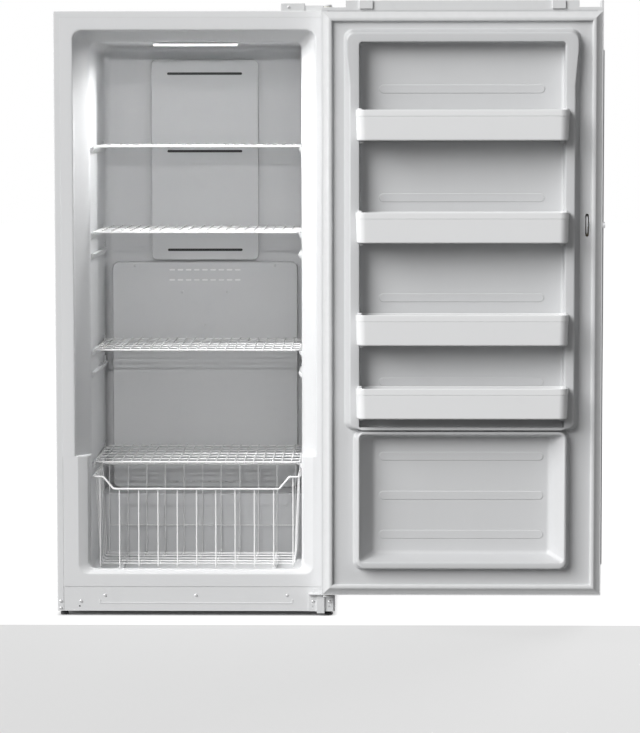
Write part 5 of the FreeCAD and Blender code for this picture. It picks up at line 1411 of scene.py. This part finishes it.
@dataclass
class Machine:
    """What stands behind the louvred cover."""

    x: float = 170.0
    y: float = 580.0
    plate_half: float = 80.0
    plate_low: float = 40.0
    plate_top: float = 43.0
    grommet_reach: float = 69.0
    grommet_low: float = 26.0
    port: float = 190.0
    level: float = 201.0
    apart: float = 19.0
    line: float = 8.0
    line_bend: float = 7.0
    condenser_inlet: Flat = (-330.0, 178.0)
    suction_rise: Flat = (494.2, 272.0)

    def compressor(self) -> None:
        """The welded pot with its seam, its foot plate, its terminal cover and its grommets."""
        x, y = self.x, self.y
        profile = [
            (0, 60), (3, 68), (9, 71.4), (16, 72), (72, 72), (74, 74.8), (80, 74.8), (82, 72), (112, 72),
            (128, 68.5), (140, 58), (147, 40), (149.6, 18), (150, 0),
        ]
        pot = turned("pot", profile, mm(x, y, self.plate_top), "Z", 48)
        half = self.plate_half
        plate = block("plate", (x - half, y - half, self.plate_low), (x + half, y + half, self.plate_top), 1.2)
        cap = block("terminal_cover", (x - 24, y - 74.5, 78), (x + 24, y - 60, 122), 4, 3)
        hand_over(joined("compressor_formed", [pot, plate, cap]), Finishes.POT, Part.CABINET, "compressor")
        waist = [(0, 10), (1, 11), (5, 11), (6, 8.6), (8, 8.6), (9, 11), (13, 11), (14, 10)]
        reach = self.grommet_reach
        first = turned("grommet", waist, mm(x - reach, y - reach, self.grommet_low), "Z", 20)
        moves = [(2 * reach, 0), (0, 2 * reach), (2 * reach, 2 * reach)]
        pieces = [first] + [copied(first, "grommet", mm(a, b, 0)) for a, b in moves]
        hand_over(joined("grommets_formed", pieces), Finishes.RUBBER, Part.CABINET, "compressor_grommets")

    def lines(self) -> None:
        """The discharge line to the condenser and the suction line up into the cabinet."""
        x, rear, near, level = self.x, self.y + self.apart, self.y - self.apart, self.level
        inlet, inlet_top = self.condenser_inlet
        rise, rise_top = self.suction_rise
        discharge = [(x, rear, self.port), (x, rear, level), (inlet, rear, level), (inlet, rear, inlet_top)]
        suction = [(x, near, self.port), (x, near, level), (x, rise, level), (x, rise, rise_top)]
        pieces = []
        for path in (discharge, suction):
            pieces.append(wire("line", [mm(*p) for p in path], self.line, bend=self.line_bend, sides=3))
        whole = joined("refrigerant_lines_formed", pieces)
        hand_over(whole, Finishes.COPPER, Part.CABINET, "refrigerant_lines", smooth=50)

    def build(self) -> None:
        """The compressor and its lines, then the pieces that keep the shape of their solids."""
        self.compressor()
        self.lines()
        soften_all(
            ("drain_pan", Finishes.BLACK, Part.CABINET, 0.6, 2),
            ("condenser_shroud", Finishes.ZINC, Part.CABINET, 0.5, 2),
            ("evaporator_fan", Finishes.MOULDING, "evaporator_fan_rotor", 0.3, 2),
            ("condenser_fan", Finishes.BLACK, "condenser_fan_rotor", 0.3, 2),
        )
        dress(Finishes.FIN, "condenser", "evaporator_coil")
        dress(Finishes.POT, "evaporator_fan_motor", "condenser_fan_motor")
        dress(Finishes.STEEL, "defrost_heater")
        dress(Finishes.MOULDING, "drain_trough", "drain_tube")


@dataclass
class Foot:
    """The sheet metal at the cabinet's foot and back, the ledges and the hinges."""

    def build(self) -> None:
        """Sheet parts with rounded edges."""
        soften_all(
            ("kick_plate", Finishes.CASE, Part.CABINET, 0.5, 3),
            ("base_frame", Finishes.ZINC, Part.CABINET, 0.4, 2),
            ("rear_cover", Finishes.ZINC, Part.CABINET, 0.3, 2),
            ("back_panel", Finishes.ZINC, Part.CABINET, 0.3, 2),
            ("shelf_ledges", Finishes.MOULDING, Part.CABINET, 1.0, 3),
            ("top_hinge_bracket", Finishes.CASE, Part.CABINET, 0.6, 3),
            ("top_hinge_cover", Finishes.MOULDING, Part.CABINET, 1.4, 4),
            ("lower_hinge_bracket", Finishes.PLATE, Part.CABINET, 0.7, 3),
        )
        hand_over(shrunk("cabinet_foam", 4), Finishes.FOAM, Part.CABINET, "cabinet_foam")
        dress(Finishes.ZINC, "bulkhead")
        dress(Finishes.NYLON, "hinge_washers")


# ------------------------------------------------------------------ door


@dataclass
class DoorShell:
    """The door's outer sheet, its caps, foam and bushes."""

    half: float = 416.0
    front: float = -75.0
    back: float = -12.0
    low: float = 85.5
    top: float = 1812.0
    lip: float = 398.0

    def build(self) -> None:
        """Pulls the sheet's section up the door, opens its inner side and rounds the caps."""
        half, front, back = self.half, self.front, self.back
        corners = [
            (-half, front, 3.5), (half, front, 3.5), (half, back, 1.2), (self.lip, back, 0.3),
            (self.lip, back - 1, 0.3), (-self.lip, back - 1, 0.3), (-self.lip, back, 0.3), (-half, back, 1.2),
        ]
        rings = [ring(corners, at_z(z, door=True), 4) for z in (self.low, self.low + 0.6, self.top - 0.6, self.top)]
        sheet = loft("door_sheet", rings)
        level, near = (2 * HINGE_Y - (back - 1)) * MM, 2e-5
        opened(sheet, lambda face: all(abs(v.co.y - level) < near for v in face.verts))
        apply(sheet, "SOLIDIFY", thickness=STEEL_SHEET * MM, offset=-1)
        hand_over(sheet, Finishes.CASE, Part.DOOR, "door_skin")
        soften_all(
            ("door_top_cap", Finishes.MOULDING, Part.DOOR, 1.3, 3),
            ("door_bottom_cap", Finishes.MOULDING, Part.DOOR, 1.6, 3),
            ("door_handle", Finishes.MOULDING, Part.DOOR, 1.3, 4),
        )
        hand_over(shrunk("door_foam", 4), Finishes.FOAM, Part.DOOR, "door_foam")
        dress(Finishes.NYLON, "door_bushes")


@dataclass
class DoorLiner:
    """The vacuum-formed inner door: flange, raised dikes round a pocket, a tub, ribs and lugs."""

    face: float = -12.0
    crest: float = 22.0
    floor: float = -30.0
    wall: float = 1.6
    plate_half: float = 397.5
    plate_low: float = 85.5
    plate_top: float = 1812.0
    openings: tuple[Point, ...] = ((303, 571, 1718), (306, 165, 564))
    lock_slot: tuple[float, ...] = (5, 1145, 1213, 4.9, -370)
    ribs: tuple[float, ...] = (1581, 1260, 963, 712, 254.7, 372, 489.3)
    rib_half: float = 245.0
    rib_rise: float = 13.0
    bins: tuple[float, ...] = (1429, 1128, 826, 609)
    lug_near: Flat = (302.4, -8.3)
    lug_far: Flat = (290.0, -0.3)

    def dike_ring(self, y: float, half: float, flare: float, low: float, top: float, bend: float) -> list[Vector]:
        """The dikes' outline at a depth, wider by flare near its top.

        Args:
            y: the depth, as if the door were shut.
            half: half the width between the dikes' straight sides.
            flare: how much wider they are at the top.
            low: the lowest point.
            top: the highest point.
            bend: the corners' radius.

        Returns:
            The outline's points.
        """
        wide = half + flare
        corners = [
            (-half, low, bend), (half, low, bend), (half, 1590, 160), (wide, 1690, 60),
            (wide, top, bend), (-wide, top, bend), (-wide, 1690, 60), (-half, 1590, 160),
        ]
        return ring(corners, on_door(y), 7)

    def dikes(self) -> bpy.types.Object:
        """The raised band round the bin pocket, down to the pocket's floor.

        Returns:
            The dikes as an open sheet.
        """
        outer = [
            (-13.0, 349.5, 0.4, 569.0, 1758.5, 28), (-12.0, 349.0, 0.5, 569.5, 1758.0, 27),
            (-11.2, 347.2, 0.8, 570.2, 1757.0, 26), (-8.0, 345.0, 1.6, 571.2, 1755.4, 25),
            (0.0, 341.4, 4.0, 572.4, 1752.6, 24), (13.0, 336.2, 7.0, 573.6, 1748.6, 24),
            (18.0, 334.0, 8.0, 574.6, 1747.2, 24), (21.0, 331.4, 8.6, 576.6, 1744.8, 23),
            (22.0, 328.0, 9.0, 579.0, 1741.6, 21), (22.0, 307.6, 0.4, 573.4, 1722.4, 14),
            (21.0, 304.6, 0.3, 573.2, 1719.6, 11), (18.0, 302.6, 0.3, 573.0, 1717.6, 9),
            (-22.0, 301.0, 0.3, 572.6, 1716.0, 9), (-27.0, 299.6, 0.3, 574.0, 1714.6, 9),
            (-29.4, 296.4, 0.3, 577.2, 1711.4, 8), (self.floor, 291.0, 0.3, 582.6, 1706.0, 6),
        ]
        return loft("dikes", [self.dike_ring(*s) for s in outer], last=True)

    def tub(self) -> bpy.types.Object:
        """The tub's raised frame and its four sloping inner walls.

        Returns:
            The tub as an open sheet.
        """
        stations = [
            (-13.0, 323.6, 149.2, 569.0, 27), (-12.0, 323.0, 149.8, 568.6, 26), (-11.0, 321.0, 151.4, 568.0, 25),
            (0.0, 317.0, 153.6, 567.6, 24), (15.0, 313.0, 156.0, 567.2, 24), (20.0, 310.6, 158.4, 566.8, 23),
            (22.0, 306.4, 162.4, 566.0, 21), (22.0, 305.0, 173.6, 561.0, 14), (20.6, 302.4, 176.4, 558.4, 12),
            (17.0, 300.4, 178.8, 556.6, 12), (-20.0, 270.6, 193.4, 549.6, 12), (-27.0, 264.6, 197.4, 547.4, 12),
            (-29.4, 259.6, 201.8, 544.6, 10), (self.floor, 253.0, 208.0, 540.0, 8),
        ]
        rings = [ring(oblong(h, low, top, bend), on_door(y), 7) for y, h, low, top, bend in stations]
        return loft("tub", rings, last=True)

    def plate(self) -> bpy.types.Object:
        """The flat flange with its two openings and the slot for the lock's cam.

        Returns:
            The cut plate.
        """
        near = on_door(self.face)(self.plate_half, self.plate_low)
        far = on_door(self.face - 2)(-self.plate_half, self.plate_top)
        plate = spanning("plate", near, far, 0.5)
        before, behind = -20, -6
        cuts = []
        for half, bottom, top in self.openings:
            rings = [ring(oblong(half, bottom, top, 6), on_door(y), 3) for y in (before, behind)]
            cuts.append(loft("cut", rings, first=True, last=True))
        carved(plate, cuts)
        slot = [ring(oblong(*self.lock_slot), on_door(y), 4) for y in (before, behind)]
        return carved(plate, [loft("cut", slot, first=True, last=True)])

    def stiffeners(self) -> list[bpy.types.Object]:
        """The long round-ended ribs on the floors of the pocket and the tub.

        Returns:
            One object for each rib.
        """
        middle, rise = self.ribs[0], self.rib_rise
        rings = []
        for y, inset in ((-30.4, 0.0), (-29.6, 0.2), (-28.9, 0.9), (-28.5, 2.2)):
            low, high, bend = middle - rise + inset, middle + rise - inset, rise - 0.1 - inset
            corners = oblong(self.rib_half - inset, low, high, bend)
            rings.append(ring(corners, on_door(y), 8))
        first = loft("rib", rings, last=True)
        return [first] + [copied(first, "rib", mm(0, 0, z - middle)) for z in self.ribs[1:]]

    def lugs(self) -> list[bpy.types.Object]:
        """The lugs that the bins hang on, a pair to each bin.

        Returns:
            One object for each lug.
        """
        lugs = []
        top = self.bins[0]
        (near_x, near_z), (far_x, far_z) = self.lug_near, self.lug_far
        for side in (-1, 1):
            near = on_door(self.floor)(side * near_x, top + near_z)
            far = on_door(self.crest - 3)(side * far_x, top + far_z)
            first = spanning("lug", near, far, 1.8, 3)
            lugs += [first] + [copied(first, "lug", mm(0, 0, z - top)) for z in self.bins[1:]]
        return lugs

    def build(self) -> None:
        """Plate, dikes, tub, ribs and lugs, joined as one sheet."""
        plate, dikes, tub = self.plate(), self.dikes(), self.tub()
        for piece in (dikes, tub):
            apply(piece, "SOLIDIFY", thickness=self.wall * MM, offset=-1)
        whole = joined("door_liner_formed", [plate, dikes, tub, *self.stiffeners(), *self.lugs()])
        # the door liner's darker colour is painted shade on the same sheet as the cabinet's liner
        hand_over(whole, Finishes.INNER_DOOR, Part.DOOR, "door_liner")


@dataclass
class Gasket:
    """The magnetic gasket: a flap over the sheet's lip, a soft bulb and its base, mitred round the door."""

    half: float = 398.0
    low: float = 91.5
    high: float = 1794.0

    def build(self) -> None:
        """Runs the gasket's section round the door."""
        section = [
            (-13.0, -12.0), (-13.5, -11.4), (-13.0, -10.8), (-9.0, -9.6), (-3.0, -6.0), (1.0, -3.0), (3.4, -1.2),
            (5.6, -0.5), (9.6, -0.5), (12.4, -1.0), (13.8, -2.4), (14.3, -4.6), (13.9, -6.4),
            (12.9, -7.0), (12.9, -7.8), (14.2, -8.4), (15.0, -9.0), (15.0, -12.0),
        ]
        rings = []
        for inset, y in section:
            rings.append(ring(oblong(self.half - inset, self.low + inset, self.high - inset, 1.2), on_door(y), 2))
        piece = loft("gasket_formed", rings + rings[:1])
        hand_over(piece, Finishes.GASKET, Part.DOOR, "door_gasket", smooth=50)


@dataclass
class Bins:
    """Four door bins: drafted trays with a lip line and two ears."""

    wide: float = 314.0
    narrow: float = 300.0
    back: float = -26.5
    shoulder: float = 24.0
    front: float = 75.0
    height: float = 91.0
    bend: float = 28.0
    lows: tuple[float, ...] = (1429, 1128, 826, 609)

    def outline(self, z: float, shrink: float, draft: float = 0.0) -> list[Vector]:
        """The tray's plan at a height, all sides in by shrink and the free sides by draft.

        Args:
            z: the height.
            shrink: how far all sides are set in.
            draft: how much further the free sides are set in.

        Returns:
            The outline's points.
        """
        narrow, wide = self.narrow - shrink, self.wide - shrink - draft
        back, shoulder, front = self.back + shrink, self.shoulder + shrink, self.front - shrink - draft
        bend = max(self.bend - shrink, 6)
        corners = [
            (-narrow, back, 4), (narrow, back, 4), (narrow, shoulder, 1), (wide, shoulder, 3),
            (wide, front, bend), (-wide, front, bend), (-wide, shoulder, 3), (-narrow, shoulder, 1),
        ]
        return ring(corners, at_z(z, door=True), 6)

    def build(self) -> None:
        """One bin, then three copies, each riding on its own body."""
        low, top = self.lows[0], self.lows[0] + self.height
        outside = [(low, 5.0, 2.6), (low + 0.6, 2.2, 2.5), (low + 2.4, 0.6, 2.4), (low + 5, 0.0, 2.3)]
        lip = [
            (top - 19, 0.0, 0.9), (top - 18.4, 0.0, 0.0), (top - 2.4, 0.0, 0.0), (top - 0.7, 0.3, 0.0),
            (top, 1.1, 0.0), (top - 0.3, 2.0, 0.0), (top - 2, 2.5, 0.0),
        ]
        inside = [(low + 8, 2.6, 2.3), (low + 4, 3.6, 2.4), (low + 2.7, 7.0, 2.4)]
        rings = [self.outline(*level) for level in outside + lip + inside]
        first = loft("bin_1_formed", rings, first=True, last=True)
        ears = []
        for side in (-1, 1):
            near, far = at_z(top - 6, door=True)(side * 296, 20), at_z(top + 4.5, door=True)(side * 309, 29)
            ears.append(spanning("ear", near, far, 2.4, 3))
        first = joined("bin_1_formed", [first, *ears])
        bins = [first]
        for i, z in enumerate(self.lows[1:], start=2):
            bins.append(copied(first, f"bin_{i}_formed", mm(0, 0, z - low)))
        for i, piece in enumerate(bins, start=1):
            hand_over(piece, Finishes.BIN, f"bin_{i}", f"door_bin_{i}", smooth=40)


@dataclass
class Lock:
    """The key lock in the latch edge with its turning cam."""

    def build(self) -> None:
        """The case, the barrel with its key slot, and the oval cam."""
        soften_all(
            ("lock_case", Finishes.STEEL, Part.DOOR, 0.7, 3),
            ("lock_barrel", Finishes.STEEL, Part.LOCK, 0.25, 2),
            ("lock_cam", Finishes.MOULDING, Part.LOCK, 1.4, 4),
        )


# ------------------------------------------------------------------ stage


INSIDE = ("inner_liner_formed", "duct", "evaporator_cover", "vent_vanes", "cover_screws", "shelf_", "basket")
WHITE = (1, 1, 1, 1)


@dataclass(frozen=True)
class Lamp:
    """A soft rectangular lamp: its place, what it points at, its size, power and spread in degrees."""

    name: str
    place: Point
    aim: Point
    size: Flat
    power: float
    spread: float = 180.0


@dataclass
class Stage:
    """Floor, backdrop, lamps and camera."""

    eye: Point = (0.522, -9.3, 1.500)
    lens: float = 152.99
    sensor: float = 36.0
    far: float = 100.0
    down: float = 4.587
    left: float = 0.910
    roll: float = -0.056
    floor_front: float = -0.173
    floor_side: float = 60.0
    floor_glow: float = 1.12
    floor_near: Colour = (0.66, 0.66, 0.66)
    floor_bounce: Colour = (0.14, 0.14, 0.14)
    surround: float = 0.05
    key_way: Point = (-1.05, -1.0, 0.85)
    key_wide: float = 44.0
    key_power: float = 3.85
    screen_place: Point = (0, 0.34, 0.923)
    screen_size: Flat = (0.636, 1.598)
    studio: tuple[Lamp, ...] = (
        Lamp("side", (-10.0, -1.4, 2.6), (0, 0, 0.9), (3.0, 3.0), 120),
        Lamp("back", (5.0, 8.5, 4.5), (0.4, 0.6, 0.9), (4.0, 4.0), 900),
        Lamp("front", (0.8, -7.5, 2.6), (0.4, 0, 0.8), (3.0, 2.0), 25),
        Lamp("throat", (0, 0.091, 1.708), (0, 0.08, 0.5), (0.25, 0.02), 2.1),
        Lamp("inside", (0, 0.125, 1.708), (0, 0.34, 0.5), (0.25, 0.02), 3.3, 158),
    )
    compartment: tuple[Lamp, ...] = (
        Lamp("mouth_low", (0, -7.5, 2.3), (0, 0.3, 1.3), (0.05, 0.05), 80),
        Lamp("mouth_high", (0, -6.5, 3.2), (0, 0.3, 1.3), (0.5, 0.3), 26),
    )

    def ground(self) -> None:
        """A pale floor that keeps the freezer's shadow, white further back."""
        only()
        bpy.ops.mesh.primitive_plane_add(size=1, location=(0.4, 4, -0.0002))
        floor = bpy.context.object
        floor.name = "floor"
        floor.scale = (self.floor_side, self.floor_side, 1)
        bpy.ops.object.transform_apply(location=True, rotation=True, scale=True)
        made = bpy.data.materials.new("pale_floor")
        tree = Tree(made)
        across, along = tree.axis("X"), tree.axis("Y")
        near = 1 - along.ramp(self.floor_front - 0.004, self.floor_front + 0.004)
        from_side = across.ramp(-0.43, -0.405) * (1 - across.ramp(0.405, 0.43))
        beneath = from_side * along.ramp(-0.01, 0.012) * (1 - along.ramp(0.68, 0.70))
        sheen = tree.blend(tree.noise(0.02, 3) * 0.1, (0.8, 0.8, 0.8), (0.76, 0.76, 0.76))
        given = {"Base Color": sheen, "Roughness": 0.7, "Specular IOR Level": 0.2}
        shade = tree.node("ShaderNodeBsdfPrincipled", given)
        colour = tree.blend(near, (1, 1, 1), self.floor_near)
        pale = tree.node("ShaderNodeEmission", {"Color": colour, "Strength": self.floor_glow})
        dull = tree.node("ShaderNodeBsdfDiffuse", {"Color": Tree.full(self.floor_bounce)})
        seen = tree.node("ShaderNodeMixShader", {0: 0.82 - beneath * 0.8, 1: shade, 2: pale})
        both = tree.node("ShaderNodeMixShader", {0: self.looked_at(tree), 1: dull, 2: seen})
        tree.node("ShaderNodeOutputMaterial", {"Surface": both})
        floor.data.materials.append(made)

    @staticmethod
    def looked_at(tree: Tree) -> Value:
        """1 for what the camera sees directly, in gloss or through glass, 0 for the light that it sends out.

        Args:
            tree: the tree of the floor or the surround.

        Returns:
            1 or 0.
        """
        camera = tree.node("ShaderNodeLightPath", out="Is Camera Ray")
        gloss = tree.node("ShaderNodeLightPath", out="Is Glossy Ray")
        through = tree.node("ShaderNodeLightPath", out="Is Transmission Ray")
        seen = tree.node("ShaderNodeMath", {0: camera + gloss, 1: through}, operation="MAXIMUM")
        return tree.node("ShaderNodeMath", {0: seen, 1: 1.0}, operation="MINIMUM")

    def sky(self) -> None:
        """A soft even surround that the camera and the gloss see as white."""
        world = bpy.data.worlds.new("surround")
        bpy.context.scene.world = world
        tree = Tree(world)
        soft = tree.node("ShaderNodeBackground", {"Color": WHITE, "Strength": self.surround})
        white = tree.node("ShaderNodeBackground", {"Color": WHITE, "Strength": 1.0})
        both = tree.node("ShaderNodeMixShader", {0: self.looked_at(tree), 1: soft, 2: white})
        tree.node("ShaderNodeOutputWorld", {"Surface": both})

    def key(self) -> None:
        """The main lamp, far off to the left, which lights every part alike."""
        data = bpy.data.lights.new("key", "SUN")
        data.angle, data.energy = math.radians(self.key_wide), self.key_power
        lamp = bpy.data.objects.new("key", data)
        bpy.context.scene.collection.objects.link(lamp)
        lamp.matrix_world = Vector(self.key_way).to_track_quat("Z", "Y").to_matrix().to_4x4()

    def screen(self) -> bpy.types.Object:
        """A screen across the compartment, unseen, that only keeps the studio's light from the back of it.

        Returns:
            The screen.
        """
        only()
        bpy.ops.mesh.primitive_plane_add(size=1, location=self.screen_place, rotation=(math.pi / 2, 0, 0))
        screen = bpy.context.object
        screen.name = "screen"
        screen.scale = (*self.screen_size, 1)
        bpy.ops.object.transform_apply(location=True, rotation=True, scale=True)
        screen.visible_camera = screen.visible_glossy = False
        screen.visible_diffuse = screen.visible_transmission = False
        made = bpy.data.materials.new("screen")
        tree = Tree(made)
        through = tree.node("ShaderNodeBsdfTransparent", {"Color": (0.04, 0.04, 0.04, 1)})
        tree.node("ShaderNodeOutputMaterial", {"Surface": through})
        screen.data.materials.append(made)
        return screen

    @staticmethod
    def hung(lamp: Lamp) -> bpy.types.Object:
        """Hangs a lamp in its place and points it.

        Args:
            lamp: the lamp's values.

        Returns:
            The lamp's object.
        """
        data = bpy.data.lights.new(lamp.name, "AREA")
        data.shape, data.energy, data.spread = "RECTANGLE", lamp.power, math.radians(lamp.spread)
        data.size, data.size_y = lamp.size
        made = bpy.data.objects.new(lamp.name, data)
        bpy.context.scene.collection.objects.link(made)
        turn = (Vector(lamp.aim) - Vector(lamp.place)).to_track_quat("-Z", "Y")
        made.matrix_world = Matrix.Translation(lamp.place) @ turn.to_matrix().to_4x4()
        return made

    @staticmethod
    def into_compartment(lamp: bpy.types.Object, screen: bpy.types.Object) -> None:
        """Lets a lamp light only what stands in the compartment, past the screen.

        Args:
            lamp: the lamp's object.
            screen: the screen that it passes.
        """
        lit = bpy.data.collections.new(f"lit_by_{lamp.name}")
        for piece in bpy.data.objects:
            if piece.type == "MESH" and piece.name.startswith(INSIDE):
                lit.objects.link(piece)
        lamp.light_linking.receiver_collection = lit
        passed = bpy.data.collections.new(f"passed_by_{lamp.name}")
        passed.objects.link(screen)
        lamp.light_linking.blocker_collection = passed
        passed.collection_objects[0].light_linking.link_state = "EXCLUDE"

    def camera(self) -> None:
        """The photograph's point of view."""
        data = bpy.data.cameras.new("camera")
        data.lens, data.sensor_width, data.clip_end = self.lens, self.sensor, self.far
        camera = bpy.data.objects.new("camera", data)
        bpy.context.scene.collection.objects.link(camera)
        left = Matrix.Rotation(math.radians(self.left), 4, "Z")
        down = Matrix.Rotation(math.radians(90 - self.down), 4, "X")
        roll = Matrix.Rotation(math.radians(self.roll), 4, "Z")
        camera.matrix_world = Matrix.Translation(self.eye) @ (left @ down) @ roll
        bpy.context.scene.camera = camera

    def build(self) -> None:
        """Sets up all of it."""
        self.ground()
        self.sky()
        self.key()
        for lamp in self.studio:
            self.hung(lamp)
        screen = self.screen()
        for lamp in self.compartment:
            self.into_compartment(self.hung(lamp), screen)
        self.camera()
        bpy.context.scene.view_settings.view_transform = "Standard"


def main() -> None:
    """Builds every sub-assembly, then the stage."""
    groups = (
        Casing(), Liner(), BackCovers(), Light(), Shelf(), Basket(), Foot(), Feet(), Machine(), Screws(),
        DoorShell(), DoorLiner(), Gasket(), Bins(), Lock(), Stage(),
    )
    for group in groups:
        LOG.info("building %s", type(group).__name__)
        group.build()


if __name__ == "__main__":
    main()
